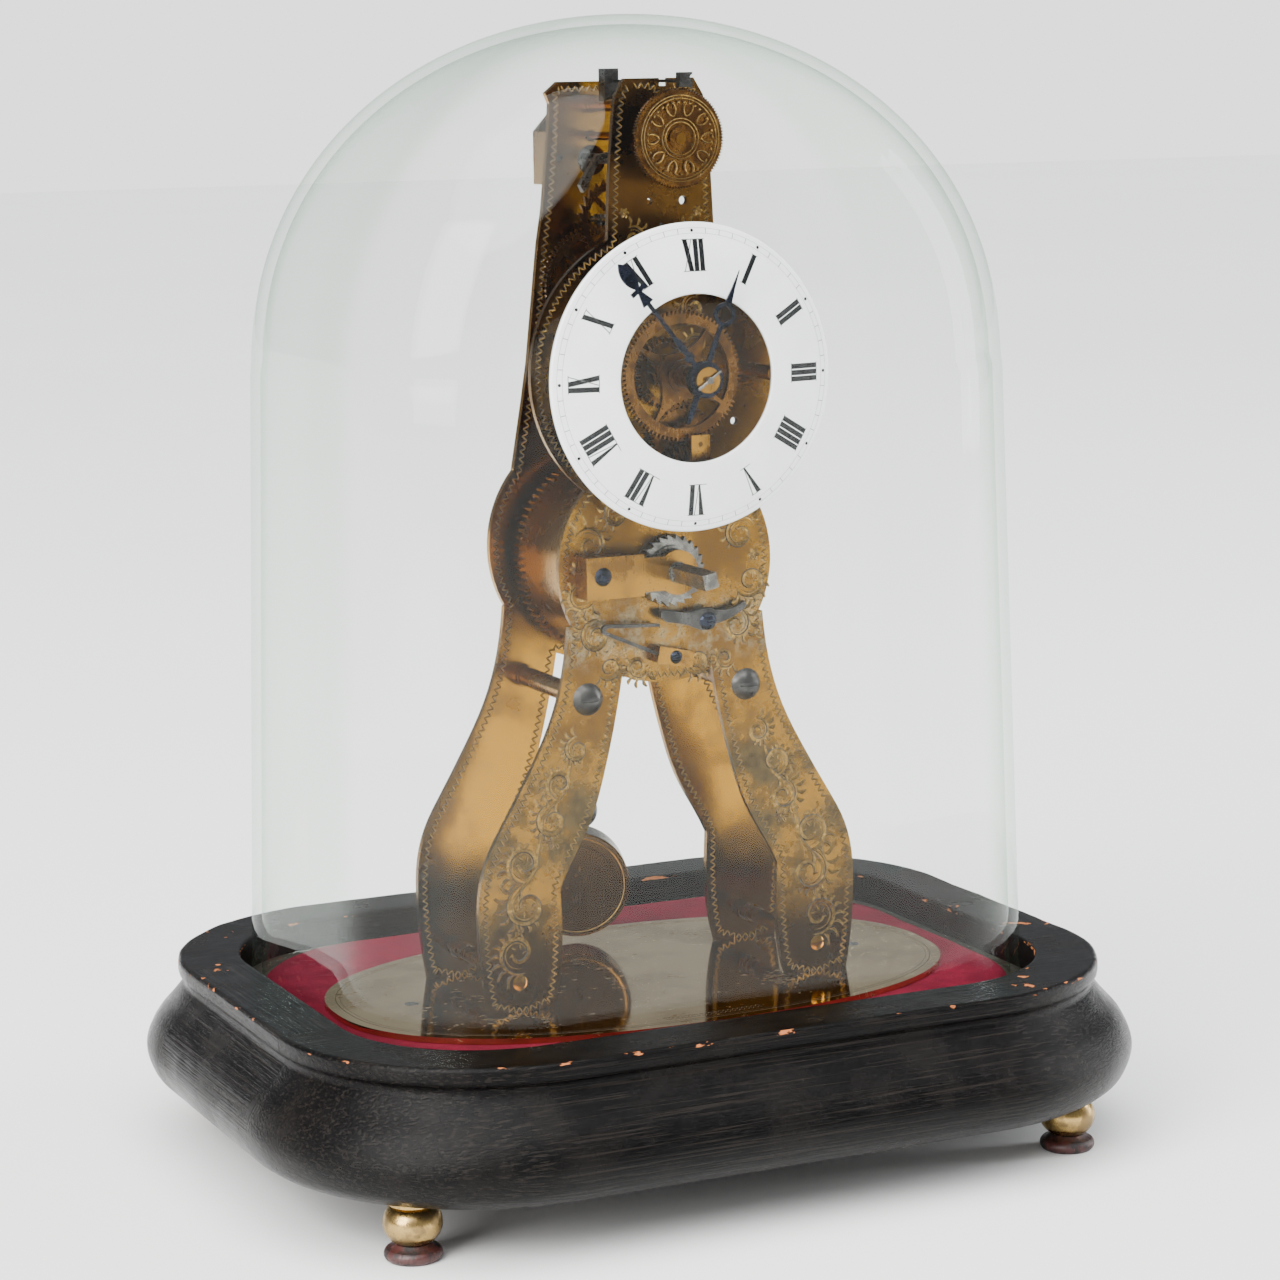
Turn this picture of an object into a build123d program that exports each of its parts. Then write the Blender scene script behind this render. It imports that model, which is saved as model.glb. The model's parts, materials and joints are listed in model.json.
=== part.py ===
from build123d import *
import math
import os

os.makedirs("parts", exist_ok=True)

# A small French-style skeleton clock under a glass dome.
# Millimetres. X is to the right, Y to the back and Z up. The origin is on the surface that the
# feet stand on, under the middle of the base. The dial faces -Y.

# ---------------------------------------------------------------- driving dimensions
movement_x = -2.0            # the movement stands this far left of the base's centre

# Base
foot_top = 12.0
rim_top = 39.9
rim_half_x, rim_half_y, rim_corner = 91.0, 72.6, 44.0
rim_width = 13.4
board_bottom, board_top = 14.0, 33.2
velvet_top = 35.0
base_plate_top = 36.2
base_plate_half_x, base_plate_half_y, base_plate_y = 68.5, 41.3, -6.2
base_plate_power = 2.3       # superellipse exponent of its outline

# Glass dome
glass_half_x, glass_half_y, glass_corner = 76.8, 58.8, 36.0
glass_wall = 2.2
glass_side_shoulder, glass_front_shoulder, glass_top = 165.0, 178.0, 238.0
glass_side_power, glass_front_power = 2.0, 2.35   # how full the crown is, across and front to back
glass_taper = 4.0            # how far each wall leans in between its foot and the shoulder

# Plates
plate_front_y, front_plate_thick = -22.75, 1.3
back_plate_y, back_plate_thick = 10.55, 1.45
front_inner_y = plate_front_y + front_plate_thick
back_outer_y = back_plate_y + back_plate_thick

# Heights of the arbors, all on the centre line
barrel_z = 125.4
great_teeth, great_module = 84, 0.5
intermediate_leaves, intermediate_teeth, intermediate_module = 10, 72, 0.4
centre_leaves, centre_teeth, centre_module = 12, 72, 0.4
third_leaves, third_teeth, third_module = 6, 74, 0.36
escape_leaves, escape_teeth, escape_radius = 6, 30, 9.1
intermediate_z = barrel_z + great_module * (great_teeth + intermediate_leaves) / 2
centre_z = intermediate_z + intermediate_module * (intermediate_teeth + centre_leaves) / 2
third_z = centre_z + centre_module * (centre_teeth + third_leaves) / 2
escape_z = third_z + third_module * (third_teeth + escape_leaves) / 2
anchor_z = 208.6
regulator_z = 213.0
top_pillar_z = 219.6
leg_pillar_x, leg_pillar_z = 18.1, 99.85
low_pillar_x, low_pillar_z = 34.5, 42.3

# Motion work
motion_teeth, motion_module = 35, 0.4
minute_leaves, hour_teeth = 7, 84
motion_distance = motion_teeth * motion_module
hour_module = 2 * motion_distance / (minute_leaves + hour_teeth)
minute_angle = -78.0         # direction from the centre arbor to the minute-wheel arbor
minute_x = motion_distance * math.cos(math.radians(minute_angle))
minute_z = centre_z + motion_distance * math.sin(math.radians(minute_angle))

# Dial and hands
dial_radius, dial_opening = 31.0, 16.8
dial_foot_radius = 18.0
enamel_thick = 0.95
dial_ball = 142.0            # the enamel's front is part of a ball of this radius
dial_centre_y = -38.75 + math.sqrt(dial_ball ** 2 - dial_opening ** 2)
minute_hand_angle, hour_hand_angle = 38.6, -21.5   # anticlockwise from 12 as seen from the front
hour_hand_y, minute_hand_y, hand_thick = -41.15, -42.75, 0.45

# Pendulum
pendulum_y = 26.0
bob_z, bob_radius, bob_thick, bob_turn = 49.8, 11.7, 10.0, 20.0
crutch_z = 186.0
escape_clearance = 0.68      # gap that leaves room for the pallets over the whole swing

running = 0.04               # radial clearance of a pivot in its hole


# ---------------------------------------------------------------- drawing helpers
def polar(radius, degrees):
    """A point of an outline at a radius and an anticlockwise angle from the X axis."""
    return (radius * math.cos(math.radians(degrees)), radius * math.sin(math.radians(degrees)))


def slab(outline, y_from, y_to):
    """Extrude an outline, drawn with X across and Z up, between two depths."""
    upright = Plane(origin=(0, y_to, 0), x_dir=(1, 0, 0), z_dir=(0, -1, 0))
    return extrude(upright * outline, y_to - y_from, dir=(0, -1, 0))


def bar(radius, y_from, y_to, x=0.0, z=0.0):
    """A round bar that lies along Y."""
    rod = Rot(-90, 0, 0) * Cylinder(radius, y_to - y_from, align=(Align.CENTER, Align.CENTER, Align.MIN))
    return Pos(x, y_from, z) * rod


def block(x_from, x_to, y_from, y_to, z_from, z_to):
    """A rectangular block given by its limits."""
    size = Box(x_to - x_from, y_to - y_from, z_to - z_from)
    return Pos((x_from + x_to) / 2, (y_from + y_to) / 2, (z_from + z_to) / 2) * size


def turned(stations, x=0.0, z=0.0):
    """A turned arbor along Y: a list of (radius, y_from, y_to) steps that touch end to end."""
    steps = [bar(radius, y_from, y_to, x, z) for radius, y_from, y_to in stations]
    solid = steps[0]
    for step in steps[1:]:
        solid += step
    return solid


def upward(outline):
    """A one-face outline turned to face +Z, so that outlines join when they are added."""
    face = outline.faces()[0]
    return Sketch() + (face if face.normal_at().Z > 0 else -face)


def outline_of(curve):
    """The flat outline inside a closed curve."""
    return upward(make_face(curve))


def polygon(*corners):
    """A straight-sided outline."""
    return upward(Polygon(*corners, align=None))


def closed(edges):
    """A flat face inside a closed chain of edges."""
    return upward(Sketch() + Face(Wire(edges)))


def rounded_plan(half_x, half_y, corner, z):
    """A rounded rectangle lying flat at a height."""
    return Pos(0, 0, z) * RectangleRounded(2 * half_x, 2 * half_y, corner)


def domed_head(radius, height, y, x, z, slot=0.7):
    """A slotted domed screw head that stands forward of y."""
    ball = (radius ** 2 + height ** 2) / (2 * height)
    cap = Pos(x, y - height + ball, z) * Sphere(ball)
    head = cap & bar(radius, y - height - 1, y, x, z)
    return head - block(x - radius, x + radius, y - height - 1, y - height + 0.55, z - slot / 2, z + slot / 2)


def screw(radius, height, shank, y, y_end, x, z):
    """A domed slotted screw with its shank going back to y_end."""
    return domed_head(radius, height, y, x, z) + bar(shank, y - 0.05, y_end, x, z)


def save(name, solid):
    """Write one piece that is drawn in the clock's own frame."""
    export_step(solid, f"parts/{name}.step")


def save_movement(name, solid):
    """Write one piece of the movement, drawn about x = 0, where the movement stands."""
    save(name, Pos(movement_x, 0, 0) * solid)


# ---------------------------------------------------------------- gear outlines
def toothed(count, module, phase, width=1.45, height=1.15, depth=1.5, round_top=False):
    """Clock-wheel outline: radial flanks below the pitch circle and curved tops above it.

    phase is the angle of one tooth's centre. width, height and depth are in modules.
    """
    pitch = count * module / 2
    root, tip = pitch - depth * module, pitch + height * module
    half = math.degrees(width * module / 2 / pitch)
    step = 360.0 / count
    bulge = 0.16 * module
    edges = []
    for k in range(count):
        middle = phase + k * step
        left, right = middle + half, middle - half
        edges.append(Edge.make_line(polar(root, right), polar(pitch, right)))
        if round_top:
            edges.append(Edge.make_three_point_arc(polar(pitch, right), polar(tip, middle), polar(pitch, left)))
        else:
            for start, end, side in ((right, middle, -1), (middle, left, 1)):
                r_start, r_end = (pitch, tip) if side < 0 else (tip, pitch)
                (x1, y1), (x2, y2) = polar(r_start, start), polar(r_end, end)
                length = math.hypot(x2 - x1, y2 - y1)
                swell = ((x1 + x2) / 2 + bulge * (y2 - y1) / length, (y1 + y2) / 2 - bulge * (x2 - x1) / length)
                edges.append(Edge.make_three_point_arc((x1, y1), swell, (x2, y2)))
        edges.append(Edge.make_line(polar(pitch, left), polar(root, left)))
        middle_gap = middle + step / 2
        next_right = middle + step - half
        floor = (polar(root, left), polar(root, middle_gap), polar(root, next_right))
        edges.append(Edge.make_three_point_arc(*floor))
    return closed(edges)


def pinion(count, module, phase):
    """Pinion outline: narrow round-topped leaves with deep radial flanks."""
    width = 1.25 if count >= 12 else 1.05
    return toothed(count, module, phase, width, height=0.6, depth=1.55, round_top=True)


def pointed(count, tip, root, phase, tip_lean):
    """Outline of straight-sided teeth. tip_lean is 0 for a symmetrical tooth, and 0.5 or -0.5
    brings the tip over the tooth's anticlockwise or clockwise end."""
    step = 360.0 / count
    corners = []
    for k in range(count):
        middle = phase + k * step
        corners.append(polar(root, middle - step / 2))
        corners.append(polar(tip, middle + tip_lean * step * 0.96))
    return closed([Edge.make_line(a, b) for a, b in zip(corners, corners[1:] + corners[:1])])


def crossings(hub, rim, arms, arm_width, phase=45.0):
    """The openings between a wheel's straight arms."""
    openings = Sketch() + Circle(rim) - Circle(hub)
    for k in range(arms):
        openings -= Rot(0, 0, phase + 360.0 * k / arms) * Pos(rim / 2, 0) * Rectangle(rim + 2, arm_width)
    return openings


def wheel(outline, hub, rim, arms, arm_width, bore, y_from, y_to, z):
    """A crossed-out wheel on its arbor's height, with a bore."""
    flat = outline - crossings(hub, rim, arms, arm_width) - Circle(bore)
    return slab(Pos(0, z) * flat, y_from, y_to)


# ---------------------------------------------------------------- base
def rim_path():
    """The outline of the base's top edge, started at the middle of the right side."""
    x, y, r = rim_half_x, rim_half_y, rim_corner
    k = r * (1 - math.sqrt(0.5))
    points = [(x, 0), (x, y - r), (x - k, y - k), (x - r, y), (-x + r, y), (-x + k, y - k), (-x, y - r),
              (-x, -y + r), (-x + k, -y + k), (-x + r, -y), (x - r, -y), (x - k, -y + k), (x, -y + r), (x, 0)]
    edges = []
    k = 0
    for kind in ("line", "arc", "line", "arc", "line", "arc", "line", "arc", "line"):
        if kind == "line":
            edges.append(Edge.make_line(points[k], points[k + 1]))
            k += 1
        else:
            edges.append(Edge.make_three_point_arc(points[k], points[k + 1], points[k + 2]))
            k += 2
    return Wire(edges)


def make_base():
    """The moulded wooden base ring, its board, the velvet and the four feet."""
    inner = rim_half_x - rim_width
    edge = rim_half_x
    swell = [(-1.2, 34.0), (1.6, 30.6), (5.4, 26.2), (7.4, 21.0), (5.8, 15.9), (2.6, 13.1),
             (-1.6, foot_top + 0.1)]
    swell = [(edge + out, z) for out, z in swell]
    profile = Plane.XZ * outline_of(
        Line((inner, foot_top), (inner, rim_top))
        + Line((inner, rim_top), (edge - 1.0, rim_top))
        + ThreePointArc((edge - 1.0, rim_top), (edge - 0.3, rim_top - 0.3), (edge, rim_top - 1.0))
        + Line((edge, rim_top - 1.0), (edge, 37.2))
        + ThreePointArc((edge, 37.2), (edge - 1.0, 35.9), swell[0])
        + Spline(*swell)
        + Line(swell[-1], (edge - 2.0, foot_top))
        + Line((edge - 2.0, foot_top), (inner, foot_top))
    )
    ring = sweep(profile, path=rim_path())
    save("wood_base", ring)

    inner_y, inner_corner = rim_half_y - rim_width, rim_corner - rim_width
    board = extrude(rounded_plan(inner, inner_y, inner_corner, board_bottom), board_top - board_bottom)
    velvet_gap = glass_wall + 0.4
    velvet_plan = [size - velvet_gap for size in (glass_half_x, glass_half_y, glass_corner)]
    velvet = extrude(rounded_plan(*velvet_plan, board_top), velvet_top - board_top)

    bolt_places = [(movement_x - 52, base_plate_y), (movement_x + 52, base_plate_y)]
    bolts = Part()
    for x, y in bolt_places:
        shank = Pos(x, y, board_bottom - 1.2) * Cylinder(1.5, base_plate_top - board_bottom + 1.2,
                                                        align=(Align.CENTER, Align.CENTER, Align.MIN))
        nut = extrude(Pos(x, y, board_bottom - 3.0) * RegularPolygon(3.2, 6), 1.8)
        washer = Pos(x, y, board_bottom - 0.6) * Cylinder(4.5, 1.2)
        bolts += shank + nut + washer
        board -= Pos(x, y, 24) * Cylinder(1.5, 40)
        velvet -= Pos(x, y, 34) * Cylinder(1.5, 10)
    save("base_board", board)
    save("velvet_cover", velvet)
    save("hold_down_bolts", bolts)

    knobs = Part()
    pads = Part()
    ball = outline_of(
        Line((0, 3.4), (3.3, 3.4))
        + ThreePointArc((3.3, 3.4), (5.9, 7.6), (3.9, 11.2))
        + Line((3.9, 11.2), (4.6, 11.2))
        + Line((4.6, 11.2), (4.6, foot_top))
        + Line((4.6, foot_top), (0, foot_top))
        + Line((0, foot_top), (0, 3.4)))
    disc = outline_of(
        Line((0, 0), (4.9, 0))
        + ThreePointArc((4.9, 0), (5.75, 1.2), (5.2, 2.4))
        + ThreePointArc((5.2, 2.4), (4.2, 2.8), (3.6, 3.4))
        + Line((3.6, 3.4), (0, 3.4))
        + Line((0, 3.4), (0, 0)))
    for sx in (-1, 1):
        for sy in (-1, 1):
            place = Pos(sx * 74.3, sy * 55.9, 0)
            knobs += place * revolve(Plane.XZ * ball, Axis.Z)
            pads += place * revolve(Plane.XZ * disc, Axis.Z)
    save("feet", knobs)
    save("foot_pads", pads)


def crown_share(z, shoulder, top, power):
    """How much of its width the dome keeps at a height above its shoulder."""
    rise = max(0.0, (z - shoulder) / (top - shoulder))
    return (1 - rise ** power) ** (1 / power)


def dome_blank(inset, bottom):
    """The dome's solid outer or inner form: straight leaning walls and a rounded crown."""
    half_x, half_y, corner = glass_half_x - inset, glass_half_y - inset, glass_corner - inset
    top = glass_top - inset
    sections = [rounded_plan(half_x, half_y, corner, bottom)]
    half_x, half_y, corner = half_x - glass_taper, half_y - glass_taper, corner - glass_taper
    for degrees in (0, 11, 22, 33, 43, 53, 62, 70, 77, 83, 88):
        z = glass_side_shoulder + (top - glass_side_shoulder) * math.sin(math.radians(degrees))
        a = half_x * crown_share(z, glass_side_shoulder, top, glass_side_power)
        b = half_y * crown_share(z, glass_front_shoulder, top, glass_front_power)
        sections.append(rounded_plan(a, b, 0.6 * b, z))
    return loft(sections, ruled=True)


def make_dome():
    dome = dome_blank(0.0, board_top) - dome_blank(glass_wall, board_top - 5)
    save("glass_dome", dome)


def make_base_plate():
    count = 32
    outline = []
    for k in range(count):
        c, s = math.cos(2 * math.pi * k / count), math.sin(2 * math.pi * k / count)
        x = base_plate_half_x * math.copysign(abs(c) ** (2 / base_plate_power), c)
        y = base_plate_half_y * math.copysign(abs(s) ** (2 / base_plate_power), s)
        outline.append((x, y + base_plate_y))
    oval = Pos(0, 0, velvet_top) * outline_of(Spline(*outline, periodic=True))
    plate = extrude(oval, base_plate_top - velvet_top)
    for x in (-52, 52):
        plate -= Pos(x, base_plate_y, 35) * Cylinder(1.5, 10)
    for side in (-1, 1):
        for y_from, y_to in ((plate_front_y, front_inner_y), (back_plate_y, back_outer_y)):
            plate -= block(side * 34 - 4, side * 34 + 4, y_from, y_to, 30, 40)
    save_movement("base_plate", plate)


# ---------------------------------------------------------------- plates and pillars
leg_outside = [(22.1, 115.0), (22.7, 109.5), (24.2, 102.0), (27.0, 94.0), (31.7, 85.0), (37.0, 76.0),
               (41.0, 68.8), (42.9, 62.0), (43.3, 54.5), (42.9, 46.5), (41.4, base_plate_top)]
leg_knee = [(26.9, base_plate_top), (25.2, 44.5), (24.8, 53.0), (25.1, 61.0)]
leg_inside = [(25.1, 61.0), (22.9, 65.4), (18.3, 73.6), (14.8, 83.7), (12.1, 94.6), (10.3, 104.0)]


def legs_outline():
    """Both legs with the arch between them, from the waist down to the base plate."""
    def flip(points):
        return [(-x, z) for x, z in points]
    left_out, left_knee, left_in = flip(leg_outside), flip(leg_knee), flip(leg_inside)
    return outline_of(
        Line(left_out[0], leg_outside[0])
        + Spline(*leg_outside)
        + Line(leg_outside[-1], leg_knee[0])
        + Spline(*leg_knee)
        + Spline(*leg_inside)
        + ThreePointArc(leg_inside[-1], (0, 102.0), left_in[-1])
        + Spline(*left_in)
        + Spline(*left_knee)
        + Line(left_knee[0], left_out[-1])
        + Spline(*left_out))


def tenons():
    """The tongues at the foot of the legs that stand in the base plate's slots."""
    outline = Sketch()
    for side in (-1, 1):
        outline += Pos(side * 34, (velvet_top + base_plate_top) / 2) * Rectangle(8, base_plate_top - velvet_top)
    return outline


def mirrored(points):
    """A symmetrical polygon from the corners of its right half, top to bottom."""
    return polygon(*points, *[(-x, z) for x, z in reversed(points)])


def pillar_holes(solid, y_from, y_to, radius):
    """Cut the pillars' rivet or screw holes."""
    solid -= bar(radius, y_from - 1, y_to + 1, 0, top_pillar_z)
    for side in (-1, 1):
        solid -= bar(radius, y_from - 1, y_to + 1, side * leg_pillar_x, leg_pillar_z)
        solid -= bar(radius, y_from - 1, y_to + 1, side * low_pillar_x, low_pillar_z)
    return solid


def make_front_plate():
    neck = mirrored([(7.7, 224.9), (9.8, 221.5), (10.3, 217.4), (11.3, 206.5), (12.0, 192.0), (12.0, 180.0)])
    outline = legs_outline() + tenons() + neck
    outline += Pos(0, 166.0) * Circle(29.4)
    outline += Pos(0, 126.5) * Circle(24.1)
    outline -= Pos(1.0, 224.9) * Rectangle(2.0, 3.2)
    plate = slab(outline, plate_front_y, front_inner_y)
    y_from, y_to = plate_front_y - 1, front_inner_y + 1
    plate = pillar_holes(plate, plate_front_y, front_inner_y, 1.2)
    for z, radius in ((barrel_z, 2.2), (intermediate_z, 0.6), (centre_z, 1.0), (third_z, 0.4),
                      (escape_z, 0.35), (anchor_z, 0.35), (regulator_z, 1.1)):
        plate -= bar(radius + running, y_from, y_to, 0, z)
    for x, z in dial_foot_places():
        plate -= bar(0.9, y_from, y_to, x, z)
    for x, z, radius in ((-16.8, 125.7, 0.9), (0.5, 107.5, 0.7), (8.0, 114.4, 0.9), (minute_x, 140.4, 0.7),
                         (16.0, 155.0, 0.8), (-2.5, 200.4, 0.7), (5.0, 200.4, 0.9)):
        plate -= bar(radius, y_from, y_to, x, z)
    plate -= bar(0.45 + running, y_from, y_to, minute_x, minute_z)
    save_movement("front_plate", plate)


def make_back_plate():
    top = mirrored([(7.5, 224.3), (10.3, 222.0), (9.4, 219.9), (9.7, 214.0), (11.4, 198.0), (12.6, 191.0),
                    (15.5, 166.0), (16.8, 158.0), (19.3, 144.0), (19.3, 130.0)])
    outline = legs_outline() + tenons() + top
    outline += Pos(0, 127.5) * Circle(25.2)
    plate = slab(outline, back_plate_y, back_outer_y)
    y_from, y_to = back_plate_y - 1, back_outer_y + 1
    plate = pillar_holes(plate, back_plate_y, back_outer_y, 1.2)
    for z, radius in ((barrel_z, 1.6), (intermediate_z, 0.6), (centre_z, 0.7), (third_z, 0.4),
                      (escape_z, 0.35)):
        plate -= bar(radius + running, y_from, y_to, 0, z)
    plate -= bar(3.2, y_from, y_to, 0, 208.0)
    plate -= bar(1.3, y_from, y_to, 0, regulator_z)
    for side in (-1, 1):
        plate -= bar(0.8, y_from, y_to, side * 7.4, 208.5)
    save_movement("back_plate", plate)


def pillar(radius, x, z, screwed):
    """A turned pillar with collars, riveted into both plates or drilled for a front screw."""
    y0, y1 = front_inner_y, back_plate_y
    body = bar(radius * 0.84, y0, y1, x, z)
    for start, end in ((y0, y0 + 1.6), (y0 + 2.4, y0 + 3.2), (y1 - 3.2, y1 - 2.4), (y1 - 1.6, y1)):
        body += bar(radius, start, end, x, z)
    body += bar(1.2, y1, back_outer_y, x, z)
    if screwed:
        return body - bar(1.2, y0 - 1, y0 + 5, x, z)
    return body + bar(1.2, plate_front_y, y0, x, z)


def make_pillars():
    legs = pillar(2.5, -leg_pillar_x, leg_pillar_z, True) + pillar(2.5, leg_pillar_x, leg_pillar_z, True)
    save_movement("leg_pillars", legs)
    low = pillar(2.0, -low_pillar_x, low_pillar_z, False) + pillar(2.0, low_pillar_x, low_pillar_z, False)
    caps = Part()
    for side in (-1, 1):
        ball = Pos(side * low_pillar_x, plate_front_y + 2.65, low_pillar_z) * Sphere(3.1)
        caps += ball & bar(1.95, plate_front_y - 1, plate_front_y, side * low_pillar_x, low_pillar_z)
    save_movement("low_pillars", low + caps)
    save_movement("top_pillar", pillar(2.0, 0, top_pillar_z, False))
    screws = Part()
    for side in (-1, 1):
        screws += screw(3.35, 1.7, 1.2, plate_front_y, front_inner_y + 4.5, side * leg_pillar_x, leg_pillar_z)
    save_movement("pillar_screws", screws)


# ---------------------------------------------------------------- barrel and winding work
def make_barrel():
    drum = bar(18.5, -16.5, 3.0, 0, barrel_z) - bar(17.2, -17.0, 1.8, 0, barrel_z)
    gear = slab(Pos(0, barrel_z) * toothed(great_teeth, great_module, 90.0), 3.0, 6.6)
    hub_bore = bar(2.5 + running, -20, 20, 0, barrel_z)
    save_movement("barrel_drum", drum + gear - hub_bore)
    cover = bar(17.2, -16.5, -15.3, 0, barrel_z) + bar(4.2, -17.2, -16.5, 0, barrel_z) - hub_bore
    save_movement("barrel_cover", cover)

    pitch, strip = 1.3, 0.55
    half_turns = 17
    coil = Sketch()
    for k in range(half_turns):
        radius = 5.6 + k * pitch / 2
        side = 1 if k % 2 == 0 else -1
        ring = Circle(radius + strip) - Circle(radius)
        half = ring & (Pos(0, side * 20) * Rectangle(60, 40))
        coil += Pos(side * pitch / 4, 0) * half
    save_movement("mainspring", slab(Pos(0, barrel_z) * coil, -14.9, 1.4))

    arbor = turned([(1.6, 10.0, 12.0), (3.2, 6.9, 10.0), (2.5, 1.6, 6.9), (4.6, -15.1, 1.6),
                    (2.5, -20.6, -15.1), (3.4, -21.35, -20.6), (2.2, -28.7, -21.35)], 0, barrel_z)
    square = slab(Pos(0, barrel_z) * Rot(0, 0, 12) * Rectangle(3.1, 3.1), -43.5, -28.7)
    save_movement("barrel_arbor", arbor + square)
    teeth = pointed(24, 7.5, 6.5, 0.0, 0.5)
    ratchet = slab(Pos(0, barrel_z) * teeth, -25.7, -24.3) + bar(5.3, -26.4, -25.7, 0, barrel_z)
    save_movement("ratchet_wheel", ratchet - bar(2.2, -30, -20, 0, barrel_z))


def make_click_work():
    y_from, y_to = -25.7, -24.3
    nose = polygon((-2.6, 117.3), (-1.0, 117.2), (3.0, 116.4), (6.6, 116.9), (9.2, 117.0), (10.4, 115.0),
                   (9.0, 112.6), (6.6, 112.5), (3.0, 114.0), (-1.4, 114.9), (-2.7, 115.9))
    tail = outline_of(
        ThreePointArc((9.6, 116.6), (13.0, 116.4), (16.6, 117.9))
        + Line((16.6, 117.9), (17.1, 116.9))
        + ThreePointArc((17.1, 116.9), (13.2, 114.6), (9.6, 113.6))
        + Line((9.6, 113.6), (9.6, 116.6)))
    click = slab(nose + tail, y_from, y_to) + bar(1.7, y_to, plate_front_y - 0.05, 8.0, 114.4)
    click -= bar(0.9 + running, -30, -20, 8.0, 114.4)
    save_movement("click", click)
    save_movement("click_screw", screw(1.9, 1.0, 0.9, -25.8, front_inner_y, 8.0, 114.4))

    upper_start = (-2.9, 114.6)
    spring = outline_of(
        Line(upper_start, (-14.6, 115.3))
        + ThreePointArc((-14.6, 115.3), (-15.9, 114.2), (-14.9, 113.1))
        + Line((-14.9, 113.1), (-3.2, 107.9))
        + Line((-3.2, 107.9), (-2.95, 108.6))
        + Line((-2.95, 108.6), (-14.4, 113.7))
        + ThreePointArc((-14.4, 113.7), (-14.95, 114.2), (-14.4, 114.6))
        + Line((-14.4, 114.6), (-2.9, 114.0))
        + Line((-2.9, 114.0), upper_start))
    save_movement("click_spring", slab(spring, -25.5, -24.5))
    foot = slab(Pos(0.5, 107.5) * Rot(0, 0, -12) * Rectangle(8.1, 3.4), -26.0, plate_front_y)
    foot -= bar(0.7, -30, -20, 0.5, 107.5)
    foot -= slab(spring, -25.5, -24.5)
    save_movement("spring_block", foot)
    small = screw(1.4, 0.8, 0.7, -26.0, front_inner_y, 0.5, 107.5)
    small += screw(1.4, 0.8, 0.7, -33.8, front_inner_y, minute_x, 140.4)
    save_movement("small_screws", small)

    arm = Pos(-14.0, barrel_z) * Rectangle(12.8, 8.6) + Pos(-4.0, barrel_z) * Rectangle(8.2, 7.0)
    arm += Pos(0, barrel_z) * Circle(4.6)
    bridge = slab(arm, -28.5, -27.1) + block(-20.4, -11.3, -27.1, plate_front_y, 121.1, 129.7)
    bridge -= bar(2.2 + running, -30, -20, 0, barrel_z)
    bridge -= bar(0.9, -30, -20, -16.8, 125.7)
    save_movement("barrel_bridge", bridge)
    save_movement("bridge_screw", screw(1.9, 1.0, 0.9, -28.5, front_inner_y, -16.8, 125.7))


# ---------------------------------------------------------------- going train
def make_train():
    up, down = 90.0, -90.0
    half_leaf = 180.0 / intermediate_leaves
    steps = [(0.6, -22.7, -21.3), (1.1, -21.3, 2.5), (1.1, 7.9, 10.4), (0.6, 10.4, 12.0)]
    arbor = turned(steps, 0, intermediate_z)
    leaves = pinion(intermediate_leaves, great_module, down + half_leaf)
    arbor += slab(Pos(0, intermediate_z) * leaves, 2.5, 7.9)
    save_movement("intermediate_arbor", arbor)
    blank = toothed(intermediate_teeth, intermediate_module, up)
    save_movement("intermediate_wheel",
                  wheel(blank, 3.4, 11.8, 4, 1.5, 1.1, -19.8, -18.7, intermediate_z))

    pin = taper_pin()
    half_leaf = 180.0 / centre_leaves
    arbor = turned([(0.7, -44.6, -21.9), (1.0, -22.7, -21.3), (1.2, -21.3, -20.5), (1.2, -18.0, 10.4),
                    (0.7, 10.4, 12.0)], 0, centre_z)
    arbor += slab(Pos(0, centre_z) * pinion(centre_leaves, intermediate_module, down + half_leaf), -20.5, -18.0)
    save_movement("centre_arbor", arbor - pin)
    save_movement("hand_pin", pin)
    blank = toothed(centre_teeth, centre_module, up)
    save_movement("centre_wheel", wheel(blank, 3.2, 11.8, 4, 1.3, 1.2, -13.5, -12.5, centre_z))

    half_leaf = 180.0 / third_leaves
    steps = [(0.4, -22.7, -21.3), (0.7, -21.3, -14.8), (0.7, -11.2, 10.4), (0.4, 10.4, 12.0)]
    arbor = turned(steps, 0, third_z)
    arbor += slab(Pos(0, third_z) * pinion(third_leaves, centre_module, down + half_leaf), -14.8, -11.2)
    save_movement("third_arbor", arbor)
    blank = toothed(third_teeth, third_module, up)
    save_movement("third_wheel", wheel(blank, 2.6, 11.2, 4, 1.1, 0.7, 6.4, 7.3, third_z))

    half_leaf = 180.0 / escape_leaves
    steps = [(0.35, -22.7, -21.3), (0.65, -21.3, 5.2), (0.65, 8.5, 10.4), (0.35, 10.4, 12.0)]
    arbor = turned(steps, 0, escape_z)
    arbor += slab(Pos(0, escape_z) * pinion(escape_leaves, third_module, down + half_leaf), 5.2, 8.5)
    save_movement("escape_arbor", arbor)
    teeth = pointed(escape_teeth, escape_radius, 7.7, up, -0.5)
    save_movement("escape_wheel", wheel(teeth, 2.2, 6.7, 4, 0.9, 0.65, -1.9, -1.1, escape_z))


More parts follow.
